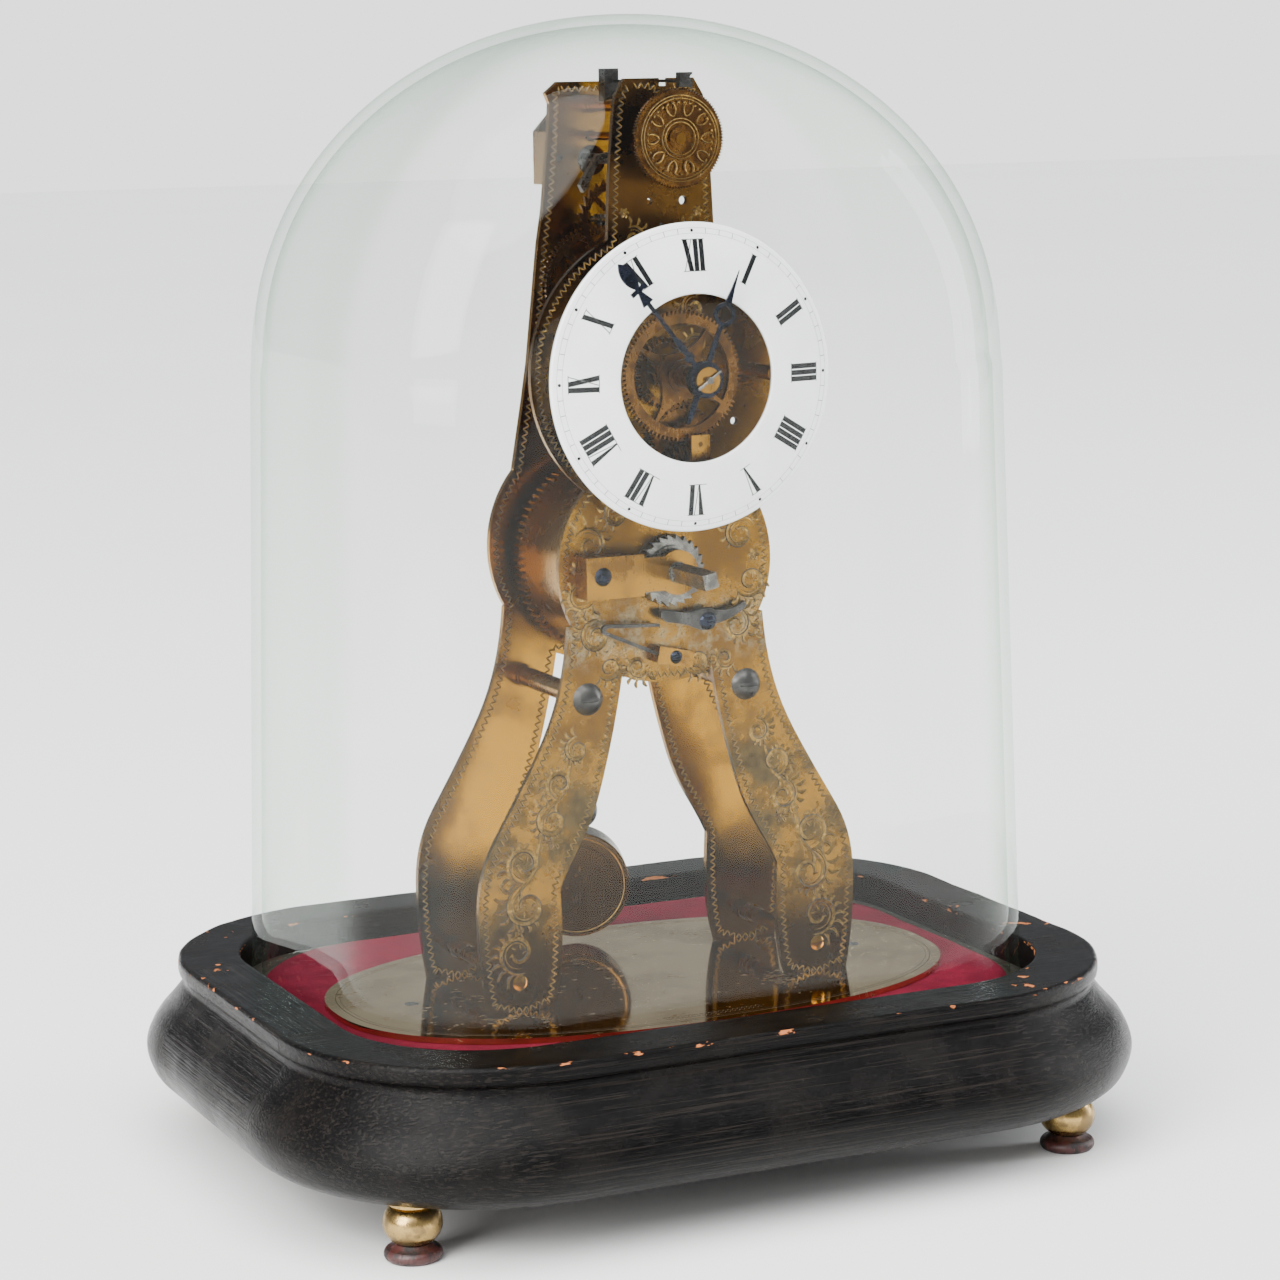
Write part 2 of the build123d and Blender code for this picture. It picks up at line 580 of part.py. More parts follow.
def make_escapement():
    """The anchor with its two pallets, its arbor and the crutch that the pendulum rod runs in."""
    reach = escape_radius + escape_clearance
    spread = 45.0
    outline = Pos(0, anchor_z) * Circle(1.9)
    for side in (-1, 1):
        inner = (side * reach * math.sin(math.radians(spread)), escape_z + reach * math.cos(math.radians(spread)))
        outer = (side * (reach + 1.6) * math.sin(math.radians(spread + 3)),
                 escape_z + (reach + 1.6) * math.cos(math.radians(spread + 3)))
        tip = (side * (reach + 0.05) * math.sin(math.radians(spread + 7)),
               escape_z + (reach + 0.05) * math.cos(math.radians(spread + 7)))
        shoulder = (side * 4.4, anchor_z - 0.9)
        outline += polygon((0, anchor_z + 1.6), (side * 4.6, anchor_z + 0.7), outer, tip, inner,
                           shoulder, (0, anchor_z - 1.4))
    anchor = slab(outline, -2.3, -0.7) - bar(0.8, -5, 5, 0, anchor_z)
    save_movement("anchor", anchor)
    arbor = turned([(0.35, -22.7, -21.3), (0.8, -21.3, 18.4), (0.35, 18.4, 20.0)], 0, anchor_z)
    save_movement("anchor_arbor", arbor)

    strip_y = 14.4
    crutch = bar(1.7, strip_y, 15.6, 0, anchor_z) + block(-0.7, 0.7, strip_y, 15.2, crutch_z - 0.6, anchor_z)
    crutch += block(-0.7, 0.7, strip_y, pendulum_y - 2.0, crutch_z - 0.6, crutch_z + 0.6)
    crutch += block(-1.6, 1.6, pendulum_y - 2.6, pendulum_y - 1.8, crutch_z - 0.6, crutch_z + 0.6)
    for side in (-1, 1):
        low, high = sorted((side * 1.0, side * 1.6))
        crutch += block(low, high, pendulum_y - 2.6, pendulum_y + 1.6, crutch_z - 0.6, crutch_z + 0.6)
    save_movement("crutch", crutch - bar(0.8, 10, 20, 0, anchor_z))


def make_back_cock():
    feet = block(5.6, 9.2, back_outer_y, 18.5, 203.0, 214.0)
    feet += block(-9.2, -5.6, back_outer_y, 18.5, 203.0, 214.0)
    bridge = mirrored([(6.0, 217.5), (9.2, 214.0), (9.2, 203.0)])
    cock = feet + slab(bridge, 18.5, 20.0)
    cock -= bar(0.35 + running, 15, 25, 0, anchor_z)
    cock -= bar(0.9 + running, 15, 25, 0, regulator_z)
    screws = Part()
    for side in (-1, 1):
        cock -= bar(0.8, 10, 25, side * 7.4, 208.5)
        slot = block(side * 7.4 - 2, side * 7.4 + 2, 20.6, 22, 208.2, 208.8)
        head = bar(1.5, 20.0, 21.1, side * 7.4, 208.5) - slot
        screws += head + bar(0.8, back_plate_y + 0.2, 20.0, side * 7.4, 208.5)
    save_movement("back_cock", cock)
    save_movement("back_cock_screws", screws)


# ---------------------------------------------------------------- pendulum and regulator
def make_pendulum():
    loop_z = 205.0
    y = pendulum_y
    thread = 0.16
    silk = bar(1.2, y - 0.5, y + 0.5, 0, regulator_z) - bar(0.92, y - 1, y + 1, 0, regulator_z)
    for side in (-1, 1):
        start, end = Vector(side * 1.06, y, regulator_z), Vector(side * 0.5, y, loop_z)
        path = Edge.make_line(start, end)
        silk += sweep(Plane(origin=start, z_dir=end - start) * Circle(thread), path=Wire([path]))
    ends = Edge.make_three_point_arc((-0.5, y, loop_z), (0, y, loop_z - 0.5), (0.5, y, loop_z))
    silk += sweep(Plane(origin=(-0.5, y, loop_z), z_dir=(0, 0, -1)) * Circle(thread), path=Wire([ends]))
    save_movement("suspension_silk", silk)

    ring = Pos(0, y, loop_z - 0.75) * Rot(0, 90, 0) * Torus(1.35, 0.38)
    stem = Pos(0, y, loop_z - 3.6) * Cylinder(0.75, 3.4)
    collar = Pos(0, y, loop_z - 5.8) * Cylinder(1.2, 2.0)
    hook = (stem - Pos(0, y, loop_z - 0.75) * Rot(0, 90, 0) * Cylinder(1.3, 4)) + ring + collar
    save_movement("pendulum_hook", hook)

    rod_top, knob_top, knob_bottom = loop_z - 6.8, 69.6, 61.8
    rod = Pos(0, y, (rod_top + knob_top) / 2) * Cylinder(0.75, rod_top - knob_top)
    tail = Pos(0, y, (knob_top + bob_z - 6) / 2) * Cylinder(0.75, knob_top - bob_z + 6)
    save_movement("pendulum_rod", rod + tail)

    knob_profile = outline_of(
        Line((0.75, knob_bottom), (2.6, knob_bottom))
        + ThreePointArc((2.6, knob_bottom), (5.2, 65.8), (2.6, knob_top))
        + Line((2.6, knob_top), (0.75, knob_top))
        + Line((0.75, knob_top), (0.75, knob_bottom)))
    save_movement("bob_knob", Pos(0, y, 0) * revolve(Plane.XZ * knob_profile, Axis.Z))

    half = bob_thick / 2
    profile = outline_of(
        Line((0, -half), (8.6, -half))
        + Line((8.6, -half), (8.8, -half + 0.35))
        + Line((8.8, -half + 0.35), (bob_radius - 0.5, -half + 0.35))
        + ThreePointArc((bob_radius - 0.5, -half + 0.35), (bob_radius - 0.12, -half + 0.5),
                        (bob_radius, -half + 0.9))
        + Line((bob_radius, -half + 0.9), (bob_radius, half - 0.6))
        + ThreePointArc((bob_radius, half - 0.6), (bob_radius - 0.2, half - 0.2), (bob_radius - 0.6, half))
        + Line((bob_radius - 0.6, half), (0, half))
        + Line((0, half), (0, -half)))
    drum = revolve(profile, Axis.Y)
    bob = Pos(0, y, bob_z) * Rot(0, 0, -bob_turn) * drum
    bob -= Pos(0, y, bob_z + 4) * Cylinder(0.75, 20)
    bob -= Pos(0, y, knob_bottom + 4) * Cylinder(6.0, 8)
    save_movement("pendulum_bob", bob)


def make_regulator():
    teeth = pointed(100, 9.93, 9.4, 90.0, 0.0)
    disc = slab(Pos(0, regulator_z) * teeth, -31.7, -30.5)
    disc += bar(2.3, -32.3, -31.7, 0, regulator_z)
    save_movement("regulator_wheel", disc - bar(1.1, -40, 0, 0, regulator_z))
    arbor = turned([(1.1, -32.6, -30.5), (1.9, -30.5, -22.85), (1.1, -22.85, -21.3), (1.6, -21.3, -20.6),
                    (0.9, -20.6, 28.0), (1.5, 28.0, 28.6)], 0, regulator_z)
    save_movement("regulator_arbor", arbor)

    post = block(-1.55, 1.55, -0.15, 2.95, top_pillar_z, 226.9) - bar(1.68, -5, 5, 0, top_pillar_z)
    save_movement("detent_post", post)
    strip = block(0.2, 1.8, -31.2, -0.15, 224.0, 224.6)
    strip += block(0.2, 3.0, -31.9, -30.1, regulator_z + 9.93 + 0.12, 226.0)
    strip += Pos(3.0, -31.0, 225.0) * Sphere(1.05)
    save_movement("detent_spring", strip)


# ---------------------------------------------------------------- motion work, dial and hands
def taper_pin():
    """The steel pin through the centre arbor's front end."""
    return Pos(0, -44.1, centre_z) * Rot(0, 55, 0) * Cone(0.32, 0.2, 6.0)


def make_motion_work():
    toward = minute_angle
    blank = toothed(motion_teeth, motion_module, toward, width=1.35, height=0.85)
    cannon = slab(Pos(0, centre_z) * (blank - crossings(3.0, 5.4, 3, 1.2)), -25.4, -24.3)
    cannon += bar(2.0, -26.3, -23.6, 0, centre_z) + bar(1.3, -42.3, -26.3, 0, centre_z)
    cannon += bar(1.05, -43.2, -42.3, 0, centre_z)
    save_movement("cannon_wheel", cannon - bar(0.7, -50, 0, 0, centre_z))

    half_tooth = 180.0 / motion_teeth
    blank = toothed(motion_teeth, motion_module, toward + 180 + half_tooth, width=1.35, height=0.85)
    half_leaf = 180.0 / minute_leaves
    place = Pos(minute_x, minute_z)
    wheel_part = slab(place * blank, -25.4, -24.3)
    wheel_part += bar(1.0, -24.3, -22.9, minute_x, minute_z) + bar(0.45, -22.9, -21.6, minute_x, minute_z)
    wheel_part += slab(place * pinion(minute_leaves, hour_module, toward + 180 + half_leaf), -32.1, -25.4)
    wheel_part += bar(0.45, -33.7, -32.1, minute_x, minute_z)
    save_movement("minute_wheel", wheel_part)

    arm = Pos(minute_x, 147.0) * Rectangle(4.2, 13.6)
    cock = slab(arm, -33.8, -32.4)
    cock += block(minute_x - 2.1, minute_x + 2.1, -32.4, plate_front_y, 138.3, 143.2)
    cock -= bar(0.45 + running, -40, -30, minute_x, minute_z)
    cock -= bar(0.7, -40, -20, minute_x, 140.4)
    save_movement("minute_cock", cock)

    rim, hollow = 10.6, 4.7
    edge_angle = 43.0
    (px, pz) = polar(rim, edge_angle)
    far = (px ** 2 + pz ** 2 - hollow ** 2) / (2 * (px - hollow))
    lens = Circle(rim) & (Pos(far, 0) * Circle(far - hollow))
    outline = toothed(hour_teeth, hour_module, toward)
    for k in range(4):
        outline -= Rot(0, 0, 12 + 90 * k) * lens
    disc = slab(Pos(0, centre_z) * outline, -31.5, -30.4)
    shoulder = hour_hand_y + hand_thick
    pipe = bar(2.35, shoulder, -30.0, 0, centre_z) + bar(3.3, -32.3, -31.5, 0, centre_z)
    pipe += bar(2.0, hour_hand_y - 0.35, shoulder, 0, centre_z)
    save_movement("hour_wheel", disc + pipe - bar(1.3 + running, -50, 0, 0, centre_z))


def dial_foot_places():
    """Centres of the three dial feet."""
    places = []
    for degrees in (0.0, 120.0, 240.0):
        x, z = polar(dial_foot_radius, degrees)
        places.append((x, centre_z + z))
    return places


def dome_depth(radius, layer):
    """Depth of the dial's domed surface at a radius, for a layer that far behind its front."""
    ball = dial_ball - layer
    return dial_centre_y - math.sqrt(ball ** 2 - radius ** 2)


def dial_layer(inner, outer, front, back):
    """A ring between two layers of the dial's dome, turned about its centre."""
    middle = (inner + outer) / 2
    profile = outline_of(
        ThreePointArc(*[(r, dome_depth(r, front)) for r in (inner, middle, outer)])
        + Line((outer, dome_depth(outer, front)), (outer, dome_depth(outer, back)))
        + ThreePointArc(*[(r, dome_depth(r, back)) for r in (outer, middle, inner)])
        + Line((inner, dome_depth(inner, back)), (inner, dome_depth(inner, front))))
    flat = Plane(origin=(0, 0, centre_z), x_dir=(1, 0, 0), z_dir=(0, 0, 1))
    return revolve(flat * profile, Axis((0, 0, centre_z), (0, 1, 0)))


def make_dial():
    enamel = dial_layer(dial_opening, dial_radius, 0, enamel_thick)
    edges = [e for e in enamel.edges() if e.geom_type == GeomType.CIRCLE]
    enamel = fillet(edges, 0.3)
    save_movement("dial", enamel)
    back = dial_layer(dial_opening + 0.5, dial_radius - 0.5, enamel_thick + 0.08, enamel_thick + 0.55)
    save_movement("dial_backing", back)
    solid_ball = Pos(0, dial_centre_y, centre_z) * Sphere(dial_ball - enamel_thick - 0.63)
    feet = Part()
    pins = Part()
    for x, z in dial_foot_places():
        shoulder = bar(1.5, -38.0, plate_front_y, x, z) & solid_ball
        feet += shoulder + bar(0.9, plate_front_y, -20.7, x, z)
        pins += Pos(x, -21.24, z) * Rot(0, 90, 0) * Cylinder(0.2, 3.4)
    save_movement("dial_feet", feet - pins)
    save_movement("dial_foot_pins", pins)


def hand(pieces, angle, y, bore):
    """A hand from flat pieces drawn pointing up, turned to its angle and bored."""
    outline = Sketch() + Circle(3.65)
    for piece in pieces:
        outline += piece
    outline -= Circle(bore)
    return slab(Pos(0, centre_z) * Rot(0, 0, angle) * outline, y, y + hand_thick)


def make_hands():
    stem = mirrored([(0.45, 24.0), (0.4, 20.2), (0.4, 11.0), (0.75, 8.65), (0.45, 6.6), (0.45, 3.0)])
    cross_block = Pos(0, 5.9) * Rectangle(2.0, 1.3)
    triangle = polygon((1.25, 20.0), (0.4, 22.9), (-0.4, 22.9), (-1.25, 20.0))
    cross_bar = Pos(0, 23.4) * Rectangle(3.6, 0.9)
    spade = outline_of(
        Line((0, 24.0), (0.5, 24.0))
        + ThreePointArc((0.5, 24.0), (1.35, 26.0), (0, 30.2))
        + ThreePointArc((0, 30.2), (-1.35, 26.0), (-0.5, 24.0))
        + Line((-0.5, 24.0), (0, 24.0)))
    minute = hand([stem, cross_block, triangle, cross_bar, spade], minute_hand_angle, minute_hand_y, 1.05)
    save_movement("minute_hand", minute)

    shaft = mirrored([(0.45, 11.6), (0.55, 3.0)])
    tail = mirrored([(0.5, -3.0), (0.6, -7.4), (0.35, -9.4)])
    ring = Pos(0, 13.6) * (Circle(2.35) - Circle(1.6))
    spear = polygon((-0.75, 15.7), (0.75, 15.7), (0.3, 19.0), (0, 22.9), (-0.3, 19.0))
    hour = hand([shaft, tail, ring, spear], hour_hand_angle, hour_hand_y, 2.0)
    save_movement("hour_hand", hour)
    collet = bar(2.6, minute_hand_y - 0.75, minute_hand_y, 0, centre_z)
    collet -= bar(0.7, -50, 0, 0, centre_z)
    collet -= bar(1.05, -43.2, -40, 0, centre_z)
    save_movement("hand_collet", collet)


make_base()
make_dome()
make_base_plate()
make_front_plate()
make_back_plate()
make_pillars()
make_barrel()
make_click_work()
make_train()
make_escapement()
make_back_cock()
make_pendulum()
make_regulator()
make_motion_work()
make_dial()
make_hands()
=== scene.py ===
import functools
import json
import math

import bpy
from mathutils import Matrix, Vector, noise


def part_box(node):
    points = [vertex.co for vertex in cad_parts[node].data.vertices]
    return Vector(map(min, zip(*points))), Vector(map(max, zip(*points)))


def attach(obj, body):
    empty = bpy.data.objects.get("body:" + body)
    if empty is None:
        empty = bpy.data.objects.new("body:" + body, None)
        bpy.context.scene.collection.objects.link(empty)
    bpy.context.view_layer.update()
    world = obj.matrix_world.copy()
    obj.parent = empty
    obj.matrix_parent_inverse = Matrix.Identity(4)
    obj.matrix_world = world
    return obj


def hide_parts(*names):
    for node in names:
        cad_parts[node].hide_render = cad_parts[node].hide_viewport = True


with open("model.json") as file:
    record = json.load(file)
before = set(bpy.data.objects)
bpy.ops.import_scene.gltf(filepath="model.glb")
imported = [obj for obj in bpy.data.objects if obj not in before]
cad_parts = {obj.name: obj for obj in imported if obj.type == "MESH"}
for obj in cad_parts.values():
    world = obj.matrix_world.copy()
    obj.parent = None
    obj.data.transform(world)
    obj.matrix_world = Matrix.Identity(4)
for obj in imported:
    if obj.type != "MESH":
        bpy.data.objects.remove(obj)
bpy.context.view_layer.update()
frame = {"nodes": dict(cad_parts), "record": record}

# The looks of a small skeleton clock under a glass dome, built round its CAD parts.
# Lengths are in millimetres in this script's own drawing code, and MM turns them into metres.
MM = 0.001


# ---------------------------------------------------------------- places read from the frame
@functools.lru_cache(maxsize=None)
def span(node):
    """A CAD node's lowest and highest corners in millimetres."""
    low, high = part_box(node)
    return tuple(v / MM for v in low), tuple(v / MM for v in high)


def middle(node):
    """The centre of a CAD node's box in millimetres."""
    low, high = span(node)
    return [(a + b) / 2 for a, b in zip(low, high)]


def half_size(node):
    """Half of a CAD node's width, depth and height in millimetres."""
    low, high = span(node)
    return [(b - a) / 2 for a, b in zip(low, high)]


# ---------------------------------------------------------------- materials
class Recipe:
    """A procedural material under construction. Patterns lie in the row frame, in millimetres."""

    def __init__(self, name, **values):
        self.material = bpy.data.materials.new(name)
        self.material.use_nodes = True
        self.tree = self.material.node_tree
        self.shader = self.tree.nodes["Principled BSDF"]
        for socket, value in values.items():
            self.shader.inputs[socket.replace("_", " ")].default_value = value
        self.coordinates = self.tree.nodes.new("ShaderNodeTexCoord").outputs["Object"]

    def node(self, kind, **settings):
        """A new shader node with some of its settings changed."""
        made = self.tree.nodes.new(kind)
        for key, value in settings.items():
            setattr(made, key, value)
        return made

    def feed(self, socket, value):
        """Put a number, a colour or another node's output into a socket."""
        if isinstance(value, bpy.types.NodeSocket):
            self.tree.links.new(value, socket)
        elif isinstance(value, tuple) and len(value) == 3 and socket.type == "RGBA":
            socket.default_value = (*value, 1.0)
        else:
            socket.default_value = value

    def set(self, **sockets):
        """Feed the main shader's sockets, named with underscores for spaces."""
        for name, value in sockets.items():
            self.feed(self.shader.inputs[name.replace("_", " ")], value)

    def noise(self, size, stretch=(1, 1, 1), detail=4.0, rough=0.6, shift=0.0):
        """Noise between 0 and 1 whose blobs are about size millimetres across."""
        mapping = self.node("ShaderNodeMapping")
        self.feed(mapping.inputs["Vector"], self.coordinates)
        mapping.inputs["Scale"].default_value = [1 / (size * MM * s) for s in stretch]
        mapping.inputs["Location"].default_value = (shift, 1.7 * shift, 0.6 * shift)
        made = self.node("ShaderNodeTexNoise")
        self.feed(made.inputs["Vector"], mapping.outputs["Vector"])
        made.inputs["Scale"].default_value = 1.0
        made.inputs["Detail"].default_value = detail
        made.inputs["Roughness"].default_value = rough
        return made.outputs["Fac"]

    def along(self, axis):
        """One coordinate of the surface, in millimetres."""
        parts = self.node("ShaderNodeSeparateXYZ")
        self.feed(parts.inputs[0], self.coordinates)
        return self.math("MULTIPLY", parts.outputs[axis], 1 / MM)

    def band(self, value, start, end, low=0.0, high=1.0):
        """A smooth step: low below start, high above end."""
        made = self.node("ShaderNodeMapRange", interpolation_type="SMOOTHSTEP")
        for socket, number in zip(("Value", "From Min", "From Max", "To Min", "To Max"),
                                  (value, start, end, low, high)):
            self.feed(made.inputs[socket], number)
        return made.outputs["Result"]

    def math(self, operation, a, b):
        """One step of arithmetic on two numbers or outputs."""
        made = self.node("ShaderNodeMath", operation=operation)
        self.feed(made.inputs[0], a)
        self.feed(made.inputs[1], b)
        return made.outputs[0]

    def blend(self, share, a, b):
        """A colour that goes from a to b as share goes from 0 to 1."""
        made = self.node("ShaderNodeMix", data_type="RGBA")
        self.feed(made.inputs[0], share)
        self.feed(made.inputs[6], a)
        self.feed(made.inputs[7], b)
        return made.outputs[2]

    def bump(self, height, depth, strength=1.0):
        """Relief of up to depth millimetres."""
        made = self.node("ShaderNodeBump")
        made.inputs["Strength"].default_value = strength
        made.inputs["Distance"].default_value = depth * MM
        self.feed(made.inputs["Height"], height)
        self.feed(self.shader.inputs["Normal"], made.outputs["Normal"])


def brass(name, bright, dull, patch=9.0, rough=(0.14, 0.34)):
    """Polished brass that has dulled in patches, with small dark spots and fine scratches."""
    r = Recipe(name, Metallic=1.0)
    patches = r.noise(patch, detail=6.0)
    dulled = r.band(patches, 0.46, 0.62)
    speckle = r.noise(0.9, detail=3.0, shift=4.0)
    clusters = r.noise(7.0, detail=2.0, shift=9.0)
    marked = r.band(r.math("ADD", speckle, r.math("MULTIPLY", clusters, 0.3)), 0.81, 0.87)
    colour = r.blend(dulled, bright, dull)
    r.set(Base_Color=r.blend(marked, colour, (0.10, 0.065, 0.03)))
    scratches = r.noise(0.35, stretch=(1, 1, 14), detail=2.0, shift=2.0)
    shine = r.band(r.math("ADD", patches, r.math("MULTIPLY", scratches, 0.25)), 0.45, 0.85, *rough)
    r.set(Roughness=r.math("ADD", shine, r.math("MULTIPLY", marked, 0.3)))
    r.bump(r.math("ADD", scratches, speckle), 0.02)
    return r.material


def engraved_brass():
    """The front plate: gold at the waist, brown at the top and the foot, olive down the legs."""
    r = Recipe("engraved_brass", Metallic=1.0)
    patches = r.noise(13.0, detail=7.0, rough=0.65)
    fine = r.noise(2.2, detail=6.0, rough=0.7, shift=3.0)
    grain = r.noise(0.45, detail=3.0, shift=7.0)
    z = r.along("Z")
    foot = r.band(z, 60, 44)
    legs = r.math("MULTIPLY", r.band(z, 98, 82), r.band(patches, 0.38, 0.6))
    neck = r.band(z, 158, 184)
    click_bay = r.math("MULTIPLY", r.band(z, 104, 110), r.band(z, 121, 116))
    gold = r.blend(r.band(patches, 0.42, 0.6), (0.25, 0.120, 0.011), (0.135, 0.062, 0.008))
    olive = r.blend(r.band(fine, 0.4, 0.65), (0.100, 0.066, 0.024), (0.048, 0.031, 0.012))
    colour = r.blend(legs, gold, olive)
    colour = r.blend(r.math("MULTIPLY", foot, 0.75), colour, (0.055, 0.029, 0.012))
    colour = r.blend(r.math("MULTIPLY", neck, 0.8), colour, (0.070, 0.031, 0.008))
    stain = r.math("MULTIPLY", click_bay, r.band(fine, 0.44, 0.6))
    colour = r.blend(r.math("MULTIPLY", stain, 0.55), colour, (0.30, 0.25, 0.155))
    marked = r.band(r.math("ADD", grain, r.math("MULTIPLY", fine, 0.5)), 0.87, 0.95)
    r.set(Base_Color=r.blend(marked, colour, (0.04, 0.026, 0.012)))
    r.set(Roughness=r.band(r.math("ADD", patches, r.math("MULTIPLY", fine, 0.4)), 0.5, 0.9, 0.18, 0.40))
    r.bump(r.math("ADD", fine, grain), 0.03)
    return r.material


def back_plate_brass():
    """The back plate: bright golden lacquer, darker towards the bottom, with a few stains."""
    r = Recipe("polished_brass", Metallic=1.0)
    patches = r.noise(16.0, detail=6.0)
    fine = r.noise(1.4, detail=5.0, rough=0.7, shift=5.0)
    colour = r.blend(r.band(patches, 0.4, 0.65), (0.35, 0.165, 0.010), (0.22, 0.10, 0.008))
    # darker towards the bottom
    lower = r.band(r.along("Z"), 66, 58)
    colour = r.blend(r.math("MULTIPLY", lower, 0.7), colour, (0.085, 0.044, 0.014))
    stains = r.math("MULTIPLY", r.band(fine, 0.56, 0.68), r.band(patches, 0.5, 0.62))
    r.set(Base_Color=r.blend(stains, colour, (0.16, 0.10, 0.04)))
    r.set(Roughness=r.band(patches, 0.35, 0.7, 0.11, 0.3))
    r.bump(r.math("ADD", patches, fine), 0.03)
    return r.material


def base_plate_brass():
    """The oval plate: pale mirror-like brass with clusters of dark tarnish."""
    r = Recipe("tarnished_brass", Metallic=1.0)
    cloud = r.noise(26.0, detail=5.0, shift=1.0)
    speckle = r.noise(1.9, stretch=(1.6, 1, 1), detail=6.0, rough=0.7, shift=6.0)
    colour = r.blend(r.band(cloud, 0.4, 0.62), (0.70, 0.49, 0.25), (0.50, 0.32, 0.13))
    clustered = r.math("ADD", speckle, r.math("MULTIPLY", cloud, 0.55))
    r.set(Base_Color=r.blend(r.band(clustered, 0.93, 0.98), colour, (0.13, 0.085, 0.045)))
    r.set(Roughness=r.band(clustered, 0.82, 1.0, 0.07, 0.45))
    r.bump(r.math("ADD", cloud, speckle), 0.008)
    return r.material


def ebonised_wood():
    """Open-grained wood under worn black stain, with bare orange-brown chips along its edges."""
    r = Recipe("ebonised_wood")
    along_x = r.noise(1.0, stretch=(26, 0.8, 0.42), detail=5.0, rough=0.65)
    along_y = r.noise(1.0, stretch=(0.8, 26, 0.42), detail=5.0, rough=0.65, shift=3.0)
    joint = 28.6                 # the side rails meet the corner blocks this far from the middle
    from_middle = r.math("ABSOLUTE", r.along("Y"), 0.0)
    side_rail = r.band(from_middle, joint + 0.1, joint - 0.1)
    grain = r.blend(side_rail, along_x, along_y)
    pores = r.band(grain, 0.52, 0.62)
    cloud = r.noise(14.0, detail=6.0, shift=8.0)
    seam = r.band(r.math("ABSOLUTE", r.math("SUBTRACT", from_middle, joint), 0.0), 0.22, 0.06)
    stain = r.blend(r.band(cloud, 0.42, 0.66), (0.0018, 0.0016, 0.0016), (0.005, 0.0042, 0.0038))
    stain = r.blend(r.math("MULTIPLY", pores, 0.6), stain, (0.016, 0.013, 0.011))
    stain = r.blend(seam, stain, (0.001, 0.001, 0.001))
    z = r.along("Z")
    rim = 39.8                   # the chipped band on the rim's rounded edge ends at this height
    upper_edge = r.math("MULTIPLY", r.band(z, rim - 1.6, rim - 0.6), r.band(z, rim + 0.09, rim))
    lower_edge = r.math("MULTIPLY", r.band(z, 16.5, 14.5), 0.8)
    edges = r.math("MAXIMUM", upper_edge, lower_edge)
    flakes = r.noise(2.4, stretch=(2.0, 2.0, 0.6), detail=4.0, rough=0.6, shift=12.0)
    chips = r.band(r.math("MULTIPLY", edges, flakes), 0.60, 0.63)
    bare = r.blend(grain, (0.50, 0.17, 0.055), (0.28, 0.085, 0.03))
    r.set(Base_Color=r.blend(chips, stain, bare))
    shine = r.band(cloud, 0.35, 0.7, 0.16, 0.30)
    r.set(Roughness=r.math("ADD", shine, r.math("MULTIPLY", chips, 0.25)))
    r.set(Specular_IOR_Level=0.09)
    cut = r.math("ADD", chips, r.math("MULTIPLY", seam, 2.0))
    r.bump(r.math("SUBTRACT", r.math("MULTIPLY", grain, -1.0), cut), 0.28, 0.75)
    return r.material


def plain_wood():
    """The dark-stained board inside the base, which shows only in the groove round the dome."""
    r = Recipe("plain_wood")
    grain = r.noise(1.2, stretch=(30, 1, 1), detail=5.0)
    r.set(Base_Color=r.blend(grain, (0.030, 0.020, 0.014), (0.012, 0.008, 0.006)))
    r.set(Roughness=r.band(grain, 0.3, 0.7, 0.5, 0.75))
    r.bump(grain, 0.1)
    return r.material


def lacquered_wood():
    """The worn red-brown discs under the ball feet."""
    r = Recipe("dark_wood")
    grain = r.noise(0.7, stretch=(1, 1, 3), detail=6.0, rough=0.7)
    worn = r.noise(2.2, detail=5.0, shift=5.0)
    colour = r.blend(r.band(worn, 0.42, 0.6), (0.055, 0.016, 0.014), (0.012, 0.008, 0.008))
    r.set(Base_Color=r.blend(r.band(grain, 0.58, 0.7), colour, (0.17, 0.06, 0.045)))
    r.set(Roughness=r.band(worn, 0.35, 0.7, 0.3, 0.65))
    r.bump(grain, 0.15)
    return r.material


def velvet():
    """Deep crimson velvet, rubbed and brushed in soft patches."""
    r = Recipe("velvet", Roughness=0.95, Sheen_Weight=0.25, Sheen_Roughness=0.4)
    r.shader.inputs["Sheen Tint"].default_value = (0.75, 0.06, 0.15, 1.0)
    r.set(Specular_IOR_Level=0.1)
    brushed = r.noise(9.0, detail=6.0, rough=0.7)
    pile = r.noise(0.35, detail=2.0, shift=4.0)
    colour = r.blend(r.band(brushed, 0.38, 0.66), (0.058, 0.0015, 0.008), (0.135, 0.004, 0.018))
    r.set(Base_Color=r.blend(r.band(pile, 0.45, 0.65), colour, (0.045, 0.001, 0.005)))
    r.bump(r.math("ADD", pile, brushed), 0.25, 0.8)
    return r.material


